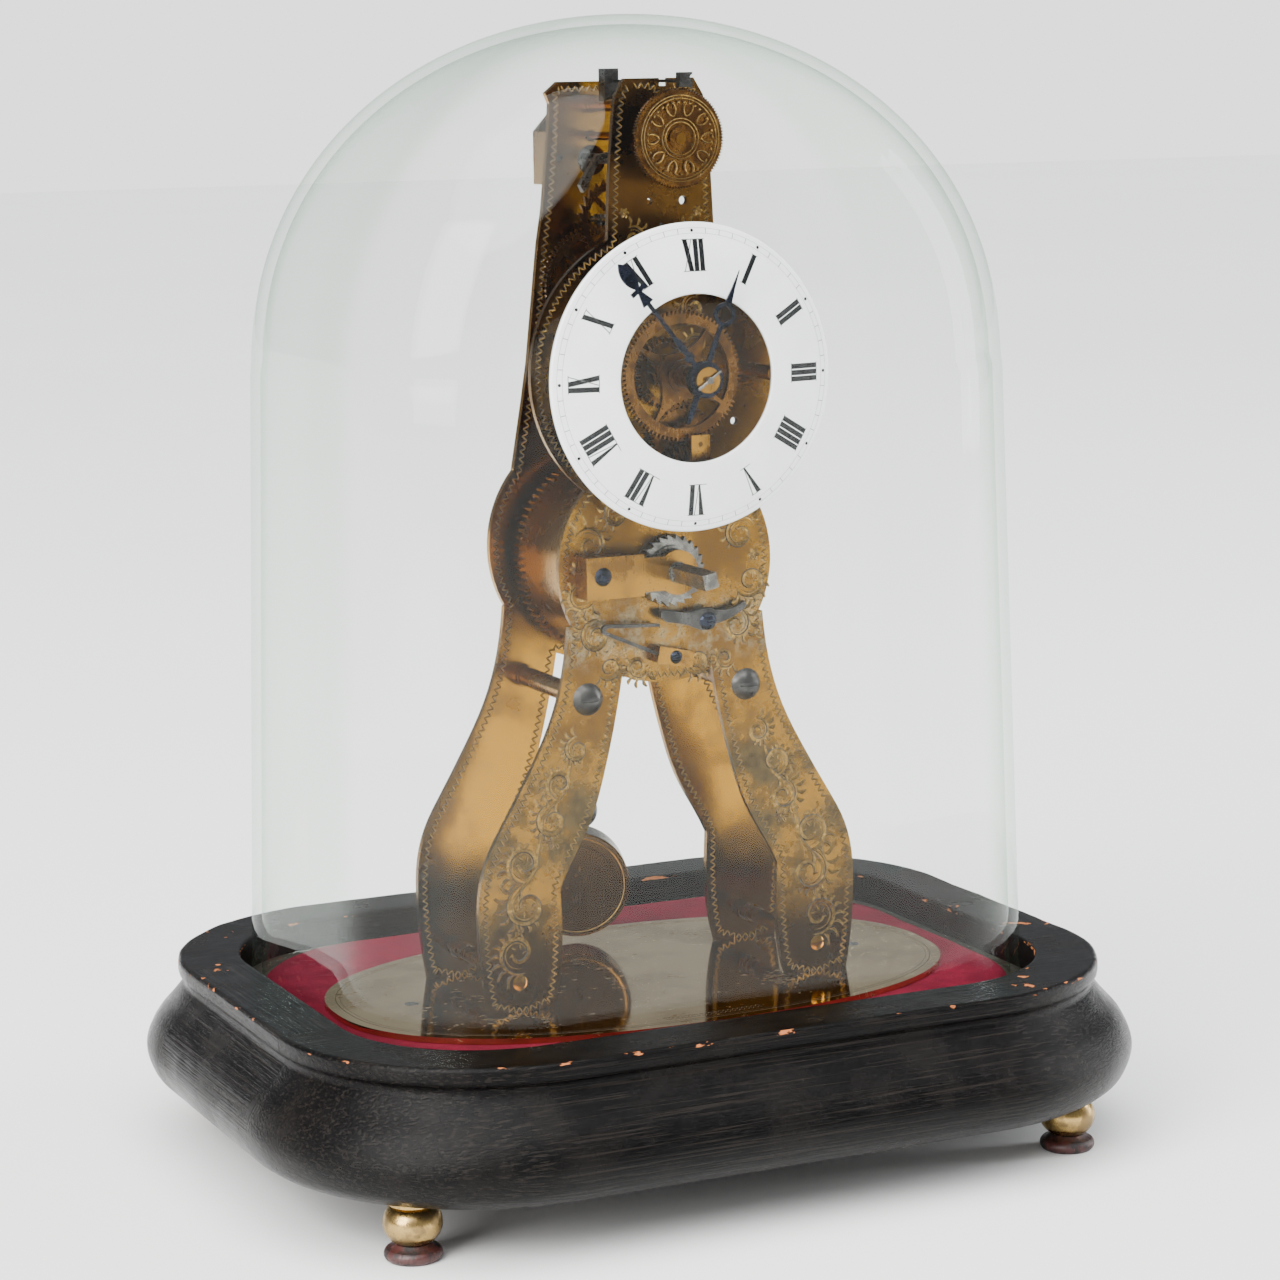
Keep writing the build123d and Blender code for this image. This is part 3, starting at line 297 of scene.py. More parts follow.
def blown_glass():
    """Thin clear glass with a faint green tint that deepens where it is seen edge on."""
    r = Recipe("glass")
    facing = r.node("ShaderNodeLayerWeight")
    facing.inputs["Blend"].default_value = 0.5
    slant = facing.outputs["Facing"]
    waves = r.noise(60.0, detail=2.0)
    tint = r.blend(r.band(slant, 0.45, 1.0), (0.984, 0.994, 0.985), (0.80, 0.865, 0.815))
    clear = r.node("ShaderNodeBsdfTransparent")
    r.feed(clear.inputs["Color"], tint)
    shine = r.node("ShaderNodeBsdfGlossy")
    r.feed(shine.inputs["Roughness"], r.band(waves, 0.3, 0.7, 0.02, 0.06))
    r.feed(shine.inputs["Color"], (0.95, 1.0, 0.97))
    bump = r.node("ShaderNodeBump")
    bump.inputs["Distance"].default_value = 0.4 * MM
    bump.inputs["Strength"].default_value = 0.35
    r.feed(bump.inputs["Height"], waves)
    r.feed(shine.inputs["Normal"], bump.outputs["Normal"])
    at_the_edge = r.math("MULTIPLY", r.math("POWER", slant, 5.0), 0.42)
    mix = r.node("ShaderNodeMixShader")
    r.feed(mix.inputs[0], r.math("ADD", at_the_edge, 0.012))
    r.tree.links.new(clear.outputs[0], mix.inputs[1])
    r.tree.links.new(shine.outputs[0], mix.inputs[2])
    r.tree.nodes.remove(r.shader)
    r.tree.links.new(mix.outputs[0], r.tree.nodes["Material Output"].inputs["Surface"])
    return r.material


def steel(name, light, dark, rough=(0.18, 0.38)):
    """Polished steel, bright or blued, with faint clouding and scratches."""
    r = Recipe(name, Metallic=1.0)
    cloud = r.noise(2.5, detail=5.0)
    scratches = r.noise(0.25, stretch=(8, 8, 1), detail=2.0, shift=3.0)
    r.set(Base_Color=r.blend(r.band(cloud, 0.38, 0.64), light, dark))
    r.set(Roughness=r.band(r.math("ADD", cloud, r.math("MULTIPLY", scratches, 0.3)), 0.45, 0.85, *rough))
    r.bump(r.math("ADD", scratches, cloud), 0.012)
    return r.material


def white_enamel():
    """Fired enamel: white, glossy, very slightly clouded and rippled."""
    r = Recipe("enamel", Coat_Weight=0.6, Coat_Roughness=0.06)
    cloud = r.noise(12.0, detail=5.0)
    pits = r.noise(0.6, detail=2.0, shift=4.0)
    colour = r.blend(r.band(cloud, 0.35, 0.7), (0.90, 0.91, 0.91), (0.83, 0.84, 0.84))
    r.set(Base_Color=r.blend(r.band(pits, 0.74, 0.8), colour, (0.45, 0.42, 0.38)))
    r.set(Roughness=r.band(cloud, 0.3, 0.7, 0.16, 0.26))
    r.bump(cloud, 0.05)
    return r.material


def fired_black(name, strong, faded):
    """Black print fired on to enamel, thinner in places."""
    r = Recipe(name, Specular_IOR_Level=0.2)
    wear = r.noise(0.8, detail=4.0)
    r.set(Base_Color=r.blend(r.band(wear, 0.45, 0.75), strong, faded))
    r.set(Roughness=r.band(wear, 0.3, 0.7, 0.25, 0.4))
    return r.material


def cut_metal(name, light, dark, rough, metallic):
    """The walls of an engraved line, made twice: a lit copy with a painted highlight, and a shaded copy with
    painted shade and some tarnish.
    """
    r = Recipe(name, Metallic=metallic)
    grit = r.noise(0.7, detail=4.0)
    r.set(Base_Color=r.blend(r.band(grit, 0.35, 0.65), light, dark))
    r.set(Roughness=r.band(grit, 0.3, 0.7, *rough))
    r.bump(grit, 0.02)
    return r.material


def silk_thread():
    """Off-white silk, twisted."""
    r = Recipe("silk", Roughness=0.75, Sheen_Weight=0.4)
    strands = r.noise(0.22, stretch=(1, 1, 3), detail=2.0)
    r.set(Base_Color=r.blend(strands, (0.80, 0.76, 0.62), (0.50, 0.45, 0.34)))
    r.bump(strands, 0.08)
    return r.material


materials = {
    "ebonised_wood": ebonised_wood(),
    "plain_wood": plain_wood(),
    "velvet": velvet(),
    "foot_brass": brass("foot_brass", (0.42, 0.28, 0.10), (0.22, 0.15, 0.065), patch=4.0, rough=(0.2, 0.42)),
    "dark_wood": lacquered_wood(),
    "glass": blown_glass(),
    "tarnished_brass": base_plate_brass(),
    "engraved_brass": engraved_brass(),
    "polished_brass": back_plate_brass(),
    "brass": brass("brass", (0.30, 0.145, 0.018), (0.15, 0.07, 0.012)),
    "blued_steel": steel("blued_steel", (0.017, 0.020, 0.034), (0.007, 0.0075, 0.012)),
    "steel": steel("steel", (0.20, 0.19, 0.175), (0.11, 0.10, 0.092), rough=(0.2, 0.42)),
    "enamel": white_enamel(),
    "silk": silk_thread(),
}
dark_work = brass("brown_brass", (0.15, 0.066, 0.014), (0.065, 0.028, 0.008), patch=5.0, rough=(0.2, 0.4))
bob_brass = brass("bob_brass", (0.115, 0.060, 0.022), (0.058, 0.030, 0.012), patch=8.0, rough=(0.16, 0.3))
steel_dark = steel("dark_steel", (0.075, 0.070, 0.068), (0.035, 0.032, 0.031), rough=(0.25, 0.45))
print_black = fired_black("fired_black", (0.005, 0.005, 0.006), (0.018, 0.018, 0.019))
print_faint = fired_black("faded_black", (0.03, 0.03, 0.031), (0.20, 0.20, 0.20))
# painted light: the cuts' two walls are lit and shaded copies of one brass, a painted highlight and painted
# shade with some tarnish
cut_highlight = cut_metal("cut_highlight", (0.34, 0.20, 0.05), (0.14, 0.08, 0.02), (0.25, 0.45), 1.0)
cut_shade_and_tarnish = cut_metal("cut_shade_and_tarnish", (0.030, 0.019, 0.009), (0.012, 0.008, 0.004), (0.5, 0.75), 0.3)

own_finish = {
    "centre_wheel": dark_work, "third_wheel": dark_work, "escape_wheel": dark_work,
    "intermediate_wheel": dark_work, "hour_wheel": dark_work, "minute_wheel": dark_work,
    "cannon_wheel": dark_work, "regulator_wheel": dark_work,
    "pendulum_bob": bob_brass,
    "click": steel_dark, "detent_spring": steel_dark, "detent_post": steel_dark,
    "pillar_screws": steel_dark, "click_spring": steel_dark,
}


def finish_nodes():
    """Give every CAD node the finish of its slot, or its own variant of it."""
    for part in frame["record"]["subparts"]:
        node = frame["nodes"][part["node"]]
        chosen = own_finish.get(part["node"], materials[part["material_slot"]])
        for slot in node.material_slots:
            slot.link = "OBJECT"
            slot.material = chosen


# ---------------------------------------------------------------- mesh helpers
def piece(name, points, faces, finishes, body, face_finish=None, smooth=True):
    """Make a mesh piece from points in millimetres and let it ride on a body."""
    mesh = bpy.data.meshes.new(name)
    mesh.from_pydata([tuple(c * MM for c in p) for p in points], [], faces)
    for finish in finishes:
        mesh.materials.append(finish)
    if face_finish:
        mesh.polygons.foreach_set("material_index", face_finish)
    mesh.polygons.foreach_set("use_smooth", [smooth] * len(mesh.polygons))
    mesh.validate()
    made = bpy.data.objects.new(name, mesh)
    bpy.context.scene.collection.objects.link(made)
    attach(made, body)
    return made


def loft_faces(rows, columns, closed=False):
    """Quads between neighbouring rows of points, each row a loop. closed joins the last row to the first."""
    faces = []
    for row in range(rows if closed else rows - 1):
        here, there = row * columns, (row + 1) % rows * columns
        for k in range(columns):
            j = (k + 1) % columns
            faces.append((here + k, here + j, there + j, there + k))
    return faces


def rounded_plan(half_x, half_y, corner, per_corner, per_side):
    """Points and outward normals round a rounded rectangle, started on the right side."""
    quarters = ((1, 1), (-1, 1), (-1, -1), (1, -1))
    centres = [(sx * (half_x - corner), sy * (half_y - corner)) for sx, sy in quarters]
    found = []
    for quarter, (cx, cy) in enumerate(centres):
        for k in range(per_corner):
            angle = math.radians(90 * (quarter + k / (per_corner - 1)))
            normal = (math.cos(angle), math.sin(angle))
            found.append(((cx + corner * normal[0], cy + corner * normal[1]), normal))
        nx, ny = centres[(quarter + 1) % 4]
        last, normal = found[-1]
        target = (nx + corner * normal[0], ny + corner * normal[1])
        for k in range(1, per_side):
            t = k / per_side
            between = (last[0] + t * (target[0] - last[0]), last[1] + t * (target[1] - last[1]))
            found.append((between, normal))
    return found


def smooth_through(guide, steps):
    """A smooth curve through guide points, with steps points to each stretch."""
    curve = []
    for k in range(len(guide) - 1):
        four = (guide[max(k - 1, 0)], guide[k], guide[k + 1], guide[min(k + 2, len(guide) - 1)])
        for step in range(steps):
            t = step / steps
            spot = []
            for before, a, b, after in zip(*four):
                square = 2 * before - 5 * a + 4 * b - after
                cube = 3 * a - before - 3 * b + after
                spot.append(0.5 * (2 * a + (b - before) * t + square * t * t + cube * t ** 3))
            curve.append(tuple(spot))
    return curve + [guide[-1]]


# ---------------------------------------------------------------- base and velvet
def make_wood_base():
    """The moulded ring: a wide flat rim, a hollow and a fat swelling side.

    The profile's points are (distance out from the rim's edge, height).
    """
    swell_reach = 7.4
    half_x, half_y = (half - swell_reach for half in half_size("wood_base")[:2])
    corner, width = 44.0, 13.4
    bottom, top = (level[2] for level in span("wood_base"))
    round_over = 1.0
    rim_edge = [(-round_over + math.sin(a), top - round_over + math.cos(a))
                for a in (0, 0.26, 0.52, 0.79, 1.05, 1.31, 1.57)]
    hollow = [(0.0, 37.2), (-0.12, 36.5), (-0.6, 36.0), (-1.05, 35.6), (-1.3, 34.9)]
    guide = [(-1.2, 34.0), (1.6, 30.6), (5.4, 26.2), (7.3, 21.0), (5.8, 15.9), (2.6, 13.1), (-1.6, bottom)]
    flat = [(-width + k * (width - 1.2) / 12, top) for k in range(1, 13)]
    inside = [(-width, bottom), (-width, bottom + 9), (-width, top - 6), (-width, top - 0.4)]
    inside.append((-width + 0.3, top))
    profile = inside + flat + rim_edge + hollow + smooth_through(guide, 9) + [(-7.0, bottom)]
    path = rounded_plan(half_x, half_y, corner, 34, 48)
    points = []
    for (x, y), (nx, ny) in path:
        for out, z in profile:
            px, py = x + out * nx, y + out * ny
            wear = 0.0
            if z > bottom + 1.0 and out > -width + 0.5:
                dents = 0.16 * noise.fractal((px * 0.06, py * 0.06, z * 0.12), 1.0, 2.0, 5)
                wear = -abs(dents) - 0.06 * abs(noise.noise((px * 0.5, py * 0.5, z * 0.9)))
            on_top = z > top - 1 or (out > -1.2 and z > top - 2)
            points.append((px + wear * nx, py + wear * ny, z + (wear * 0.8 if on_top else 0)))
    faces = loft_faces(len(path), len(profile), closed=True)
    made = piece("moulded_base", points, faces, [materials["ebonised_wood"]], "frame")
    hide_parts("wood_base")


def make_velvet():
    """The velvet pulled over the board: its pile gives it a soft uneven top and rolled edges."""
    top = span("velvet_cover")[1][2]
    half_x, half_y = half_size("velvet_cover")[:2]
    corner, turned_down = 33.4, 1.7
    rings = [(0.0, top - turned_down), (0.35, top - 0.9), (1.0, top - 0.35), (2.0, top - 0.08)]
    rings += [(2.0 + 1.35 * k, top) for k in range(1, 38)]
    points = []
    for inset, z in rings:
        plan = rounded_plan(half_x - inset, half_y - inset, max(corner - inset, 2.0), 22, 30)
        count = len(plan)
        for (x, y), _ in plan:
            drop = 0.14 * noise.fractal((x * 0.09, y * 0.09, 3.0), 1.0, 2.0, 4) - 0.12
            points.append((x, y, z + min(drop, 0.0)))
    faces = loft_faces(len(rings), count)
    faces.append(tuple(range((len(rings) - 1) * count, len(rings) * count)))
    made = piece("velvet_sheet", points, faces, [materials["velvet"]], "frame")
    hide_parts("velvet_cover")


# ---------------------------------------------------------------- dome
side_shoulder = 165.0        # the two ends begin to curve in at this height
front_shoulder = 178.0       # and the front and back at this one


def dome_level(z, inset):
    """Half width, half depth and corner radius of the dome's wall at a height."""
    foot, lean = 33.2, 4.0
    side_power, front_power = 2.0, 2.35
    high = span("glass_dome")[1]
    top = high[2] - inset
    narrowing = lean * min(1.0, (z - foot) / (side_shoulder - foot))
    full_x = high[0] - inset - narrowing
    full_y = high[1] - inset - narrowing
    if z <= side_shoulder:
        return full_x, full_y, 36.0 - inset - narrowing
    rise_x = (z - side_shoulder) / (top - side_shoulder)
    rise_y = max(0.0, (z - front_shoulder) / (top - front_shoulder))
    half_x = full_x * max(0.0, 1 - rise_x ** side_power) ** (1 / side_power)
    half_y = full_y * max(0.0, 1 - rise_y ** front_power) ** (1 / front_power)
    return half_x, half_y, min(0.6 * half_y, 0.98 * half_x)


def make_dome():
    """The blown dome: two smooth walls that meet in a rounded rim, and a closed crown."""
    bottom, top = (level[2] for level in span("glass_dome"))
    wall = 2.1
    outside = 0.02               # keeps the outer wall just inside the CAD dome
    straight = [bottom + k * (side_shoulder - bottom) / 14 for k in range(1, 15)]

    def crown(peak):
        rise = peak - side_shoulder
        return [side_shoulder + rise * math.sin(math.radians(90 * k / 46)) for k in range(1, 46)]

    # (height, inset) of every row, from the top down the outside, round the rim and up the inside
    rows = [(z, outside) for z in reversed(straight + crown(top))]
    for k in range(7):
        a = math.radians(30 * k)
        rows.append((bottom + wall / 2 * (1 - math.sin(a)), wall / 2 * (1 - math.cos(a)) + outside))
    rows += [(z, wall) for z in straight + crown(top - wall)]
    points = []
    for z, inset in rows:
        half_x, half_y, corner = dome_level(z, inset)
        plan = rounded_plan(max(half_x, 0.4), max(half_y, 0.4), max(corner, 0.2), 26, 16)
        points.extend((x, y, z) for (x, y), _ in plan)
    count = len(plan)
    faces = loft_faces(len(rows), count)
    faces.append(tuple(reversed(range(count))))
    faces.append(tuple(range((len(rows) - 1) * count, len(rows) * count)))
    made = piece("blown_dome", points, faces, [materials["glass"]], "dome")
    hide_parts("glass_dome")


# ---------------------------------------------------------------- dial
dial_ball = 142.0            # the enamel's front is part of a ball of this radius
opening_radius = 16.8
print_lift = 0.03            # the print stands this far off the enamel


def dial_point(radius, clockwise, lift):
    """A point on the dial's domed front at an angle clockwise from 12."""
    front = span("dial")[0][1] - 0.04
    cx, _, cz = middle("dial")
    centre_y = front + math.sqrt(dial_ball ** 2 - opening_radius ** 2)
    a = math.radians(clockwise)
    y = centre_y - math.sqrt(dial_ball ** 2 - radius ** 2) - lift
    return (cx + radius * math.sin(a), y, cz + radius * math.cos(a))


def make_enamel():
    """The enamel ring, domed and with rounded edges."""
    inner, outer = opening_radius, half_size("dial")[0]
    thick, edge = 0.9, 0.42
    flat = outer - inner - 2 * edge
    rounding = [(edge * math.sin(a), edge * math.cos(a)) for a in (math.radians(15 * k) for k in range(7))]
    # (radius, depth below the front) round the ring's section
    profile = [(inner + 0.02, thick)]
    profile += [(inner + edge - across, edge - up) for up, across in rounding]
    profile += [(inner + edge + flat * k / 16, 0.0) for k in range(1, 16)]
    profile += [(outer - edge + across, edge - up) for across, up in rounding]
    profile += [(outer - 0.02, thick)]
    turns = 240
    points = [dial_point(r, 360 * k / turns, -d) for k in range(turns) for r, d in profile]
    faces = loft_faces(turns, len(profile), closed=True)
    made = piece("enamel_ring", points, faces, [materials["enamel"]], "frame")
    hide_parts("dial")


class Print:
    """Flat marks laid on the dial's domed front."""

    def __init__(self):
        self.points = []
        self.faces = []
        self.kinds = []

    def patch(self, corners, clockwise, kind, steps=6):
        """A four-sided mark given by corners (across, radius) in a frame turned to an angle."""
        start = len(self.points)
        a, b, c, d = corners
        for k in range(steps + 1):
            t = k / steps
            for p, q in ((a, d), (b, c)):
                across = p[0] + t * (q[0] - p[0])
                up = p[1] + t * (q[1] - p[1])
                radius = math.hypot(across, up)
                turn = clockwise + math.degrees(math.atan2(across, up))
                self.points.append(dial_point(radius, turn, print_lift))
        for k in range(steps):
            j = start + 2 * k
            self.faces.append((j, j + 1, j + 3, j + 2))
            self.kinds.append(kind)

    def ring(self, radius, width, kind):
        """A thin circle round the dial."""
        turns = 240
        start = len(self.points)
        for k in range(turns):
            for r in (radius - width / 2, radius + width / 2):
                self.points.append(dial_point(r, 360 * k / turns, print_lift))
        for k in range(turns):
            j, n = start + 2 * k, start + 2 * ((k + 1) % turns)
            self.faces.append((j, j + 1, n + 1, n))
            self.kinds.append(kind)

    def dot(self, radius, clockwise, size, kind):
        """A small round dot."""
        corners = 14
        start = len(self.points)
        for k in range(corners):
            a = 2 * math.pi * k / corners
            across, up = size * math.cos(a), radius + size * math.sin(a)
            turn = clockwise + math.degrees(math.atan2(across, up))
            self.points.append(dial_point(math.hypot(across, up), turn, print_lift))
        self.faces.append(tuple(range(start, start + corners)))
        self.kinds.append(kind)


numeral_width = {"I": 1.28, "V": 2.35, "X": 2.2}
numerals = ("XII", "I", "II", "III", "IIII", "V", "VI", "VII", "VIII", "IX", "X", "XI")


def draw_numeral(marks, text, clockwise, foot, head):
    """A Roman numeral with its feet to the centre: thick strokes, hairlines and fine serifs."""
    thick, hair, serif = 1.04, 0.17, 0.13

    def stroke(foot_left, foot_right, head_right, head_left, kind):
        corners = [(foot_left, foot), (foot_right, foot), (head_right, head), (head_left, head)]
        marks.patch(corners, clockwise, kind)

    wide = sum(numeral_width[letter] for letter in text)
    left = -wide / 2
    for letter in text:
        right = left + numeral_width[letter]
        if letter == "I":
            x = (left + right) / 2
            stroke(x - thick / 2, x + thick / 2, x + thick / 2, x - thick / 2, 0)
        if letter == "V":
            x = left + 0.62 * (right - left)
            stroke(x - 0.10, x + 0.20, left + thick + 0.15, left + 0.12, 0)
            stroke(x + 0.10, x + 0.22, right - 0.05, right - 0.05 - hair, 0)
        if letter == "X":
            stroke(right - thick, right, left + thick, left, 0)
            stroke(left + 0.1, left + 0.1 + hair, right - 0.1, right - 0.1 - hair, 1)
        left = right
    reach = wide / 2 + 0.12
    for level in (foot, head):
        under, over = level - serif / 2, level + serif / 2
        marks.patch([(-reach, under), (-reach, over), (reach, over), (reach, under)], clockwise, 1)


def make_dial_print():
    """Numerals, five-minute dots and the minute track."""
    radius = half_size("dial")[0]
    marks = Print()
    for hour, text in enumerate(numerals):
        draw_numeral(marks, text, 30 * hour, 0.688 * radius, 0.890 * radius)
        marks.dot(0.946 * radius, 30 * hour, 0.33, 0)
    track_inner, track_outer = 0.928 * radius, 0.962 * radius
    half = 0.055
    for minute in range(60):
        if minute % 5:
            corners = [(-half, track_inner), (half, track_inner), (half, track_outer), (-half, track_outer)]
            marks.patch(corners, 6 * minute, 1, steps=1)
    for circle in (track_inner, track_outer):
        marks.ring(circle, 0.045, 1)
    finishes = [print_black, print_faint]
    piece("dial_print", marks.points, marks.faces, finishes, "frame", marks.kinds, smooth=False)


# ---------------------------------------------------------------- engraving
class Engraving:
    """Cut lines: each has a bright wall with a painted highlight and a dark wall with painted shade and some
    tarnish, and swells and tapers along its way.

    place turns a point (u, v) on the face and a height off it into a point of the frame.
    """

    def __init__(self, place):
        self.place = place
        self.points = []
        self.faces = []
        self.kinds = []

    def cut(self, line, width, height, taper=0.75, dark_share=0.72):
        """One cut along a list of (u, v) points. taper 0 keeps the full width to both ends."""
        start = len(self.points)
        count = len(line)
        sunk = -0.015            # both edges lie just under the face
        for k, (u, v) in enumerate(line):
            before, after = line[max(k - 1, 0)], line[min(k + 1, count - 1)]
            du, dv = after[0] - before[0], after[1] - before[1]
            size = math.hypot(du, dv) or 1.0
            nu, nv = -dv / size, du / size
            swell = math.sin(math.pi * (k + 0.35) / (count - 0.3)) ** taper if taper else 1.0
            w = width * swell / 2
            ridge = w * (1 - 2 * dark_share)
            for offset, lift in ((w, sunk), (ridge, height * swell), (-w, sunk)):
                self.points.append(self.place(u + offset * nu, v + offset * nv, lift))
        for k in range(count - 1):
            j = start + 3 * k
            self.faces += [(j, j + 1, j + 4, j + 3), (j + 1, j + 2, j + 5, j + 4)]
            # the first wall takes the painted highlight, the second the painted shade
            self.kinds += [0, 1]

    def bow(self, u, v, heading, length, bend, width, height, steps=9):
        """A short curved cut from a point: heading in degrees, bend in degrees over its length."""
        line = [(u, v)]
        for k in range(steps):
            a = math.radians(heading + bend * (k + 0.5) / steps)
            u += length / steps * math.cos(a)
            v += length / steps * math.sin(a)
            line.append((u, v))
        self.cut(line, width, height)

    def scroll(self, u, v, radius, start, turn, leaves, fat):
        """A curling stem with feathered leaves along its outer side. turn is +1 or -1."""
        stem = []
        steps = 34
        sweep, shrink = 455, 0.74    # degrees it curls through, and the share of its radius it loses
        for k in range(steps + 1):
            t = k / steps
            stem.append(around(u, v, radius * (1 - shrink * t), start + turn * sweep * t))
        self.cut(stem, 1.0 * fat, 0.15, taper=0.35)
        inner = [(u + (p[0] - u) * 0.74, v + (p[1] - v) * 0.74) for p in stem[: steps * 2 // 3]]
        self.cut(inner, 0.42 * fat, 0.07, taper=0.5)
        for k in range(leaves):
            along = 6 + 205 * k / leaves
            a = start + turn * along
            r = radius * (1 - shrink * along / sweep)
            length = radius * (0.92 - 0.07 * k)
            for barb in range(3):
                root = around(u, v, r + 0.30 * barb, a + turn * 7 * barb)
                self.bow(*root, a + turn * (62 - 15 * barb), length * (1 - 0.2 * barb), -turn * 80,
                         0.62 * fat, 0.13)
        for k in range(5):
            a = start + turn * (30 + 62 * k)
            r = radius * 0.45
            self.bow(*around(u, v, r, a), a + 180, r * 0.6, 40, 0.5 * fat, 0.09, steps=4)

    def flower(self, u, v, radius):
        """Six petals, each two bowed cuts, round an eye."""
        for k in range(6):
            a = 60 * k
            for side in (-1, 1):
                root = around(u, v, 0.25 * radius, a)
                self.bow(*root, a + side * 38, 0.95 * radius, -side * 80, 0.5, 0.12, steps=6)
        self.ring(u, v, 0.22 * radius, 0.4, 0.1)

    def ring(self, u, v, radius, width, height):
        """A full circle of even width."""
        self.cut([around(u, v, radius, 5 * k) for k in range(73)], width, height, taper=0)

    def wriggle(self, line, pitch, swing, width, height):
        """The zigzag border: slanting wedge cuts along a line."""
        inner = evenly(line, pitch)
        for k in range(len(inner) - 1):
            (ua, va), (ub, vb) = inner[k], inner[k + 1]
            du, dv = ub - ua, vb - va
            size = math.hypot(du, dv) or 1.0
            nu, nv = -dv / size * swing, du / size * swing
            peak = ((ua + ub) / 2 + nu, (va + vb) / 2 + nv)
            for tail, tip in (((ua - nu, va - nv), peak), (peak, (ub - nu, vb - nv))):
                mid = ((tail[0] + tip[0]) / 2, (tail[1] + tip[1]) / 2)
                self.cut([tail, mid, tip], width, height, taper=0.4, dark_share=0.62)

    def done(self, name, body):
        """Turn the cuts into one piece."""
        # the painted highlight wall, then the painted shade wall
        finishes = [cut_highlight, cut_shade_and_tarnish]
        piece(name, self.points, self.faces, finishes, body, self.kinds, smooth=False)


def around(u, v, radius, angle):
    """A point at a distance from (u, v), in a direction given in degrees."""
    a = math.radians(angle)
    return u + radius * math.cos(a), v + radius * math.sin(a)


def evenly(line, pitch):
    """Points at an even pitch along a line."""
    found = [line[0]]
    wanted = pitch
    walked = 0.0
    for a, b in zip(line, line[1:]):
        size = math.hypot(b[0] - a[0], b[1] - a[1])
        while size > 0 and walked + size >= wanted:
            t = (wanted - walked) / size
            found.append((a[0] + t * (b[0] - a[0]), a[1] + t * (b[1] - a[1])))
            wanted += pitch
        walked += size
    return found


def flat_outline(node, across, level):
    """The widest outline of a node's flat face, as a list of the other two coordinates.

    across is the number of the axis square to the face, and level is where the face lies on it. The
    outline runs with the metal on its left.
    """
    mesh = frame["nodes"][node].data
    first, second = [k for k in range(3) if k != across]
    corner = [tuple(round(c / MM, 3) for c in v.co) for v in mesh.vertices]
    edges = {}
    for face in mesh.polygons:
        ring = [corner[v] for v in face.vertices]
        if all(abs(p[across] - level) < 0.02 for p in ring):
            flat = [(p[first], p[second]) for p in ring]
            area = sum(a[0] * b[1] - b[0] * a[1] for a, b in zip(flat, flat[1:] + flat[:1]))
            if area < 0:
                flat.reverse()
            for a, b in zip(flat, flat[1:] + flat[:1]):
                if (b, a) in edges:
                    del edges[(b, a)]        # shared by two triangles, so it lies inside the face
                elif a != b:
                    edges[(a, b)] = True
    follow = {a: b for a, b in edges}
    loops = []
    while follow:
        start, point = follow.popitem()
        loop = [start, point]
        while point in follow:
            point = follow.pop(point)
            loop.append(point)
        loops.append(loop)
    return max(loops, key=lambda loop: max(p[0] for p in loop) - min(p[0] for p in loop))


def inset_line(loop, inset):
    """An outline moved into the metal by a distance, without the parts that come too near its edge."""
    dense = evenly(loop, 0.5)
    moved = []
    for k, p in enumerate(dense):
        a, b = dense[k - 1], dense[(k + 1) % len(dense)]
        du, dv = b[0] - a[0], b[1] - a[1]
        size = math.hypot(du, dv) or 1.0
        q = (p[0] - dv / size * inset, p[1] + du / size * inset)
        near = min(math.hypot(q[0] - d[0], q[1] - d[1]) for d in dense)
        if near > 0.93 * inset:
            moved.append(q)
    return moved


def leg_middle(loop, side, z):
    """The middle and half width of one leg of the front plate at a height."""
    centre = middle("front_plate")[0]
    hits = []
    for a, b in zip(loop, loop[1:]):
        if (a[1] - z) * (b[1] - z) <= 0 and a[1] != b[1]:
            x = a[0] + (z - a[1]) / (b[1] - a[1]) * (b[0] - a[0])
            if side * (x - centre) > 0:
                hits.append(x)
    return (min(hits) + max(hits)) / 2, (max(hits) - min(hits)) / 2


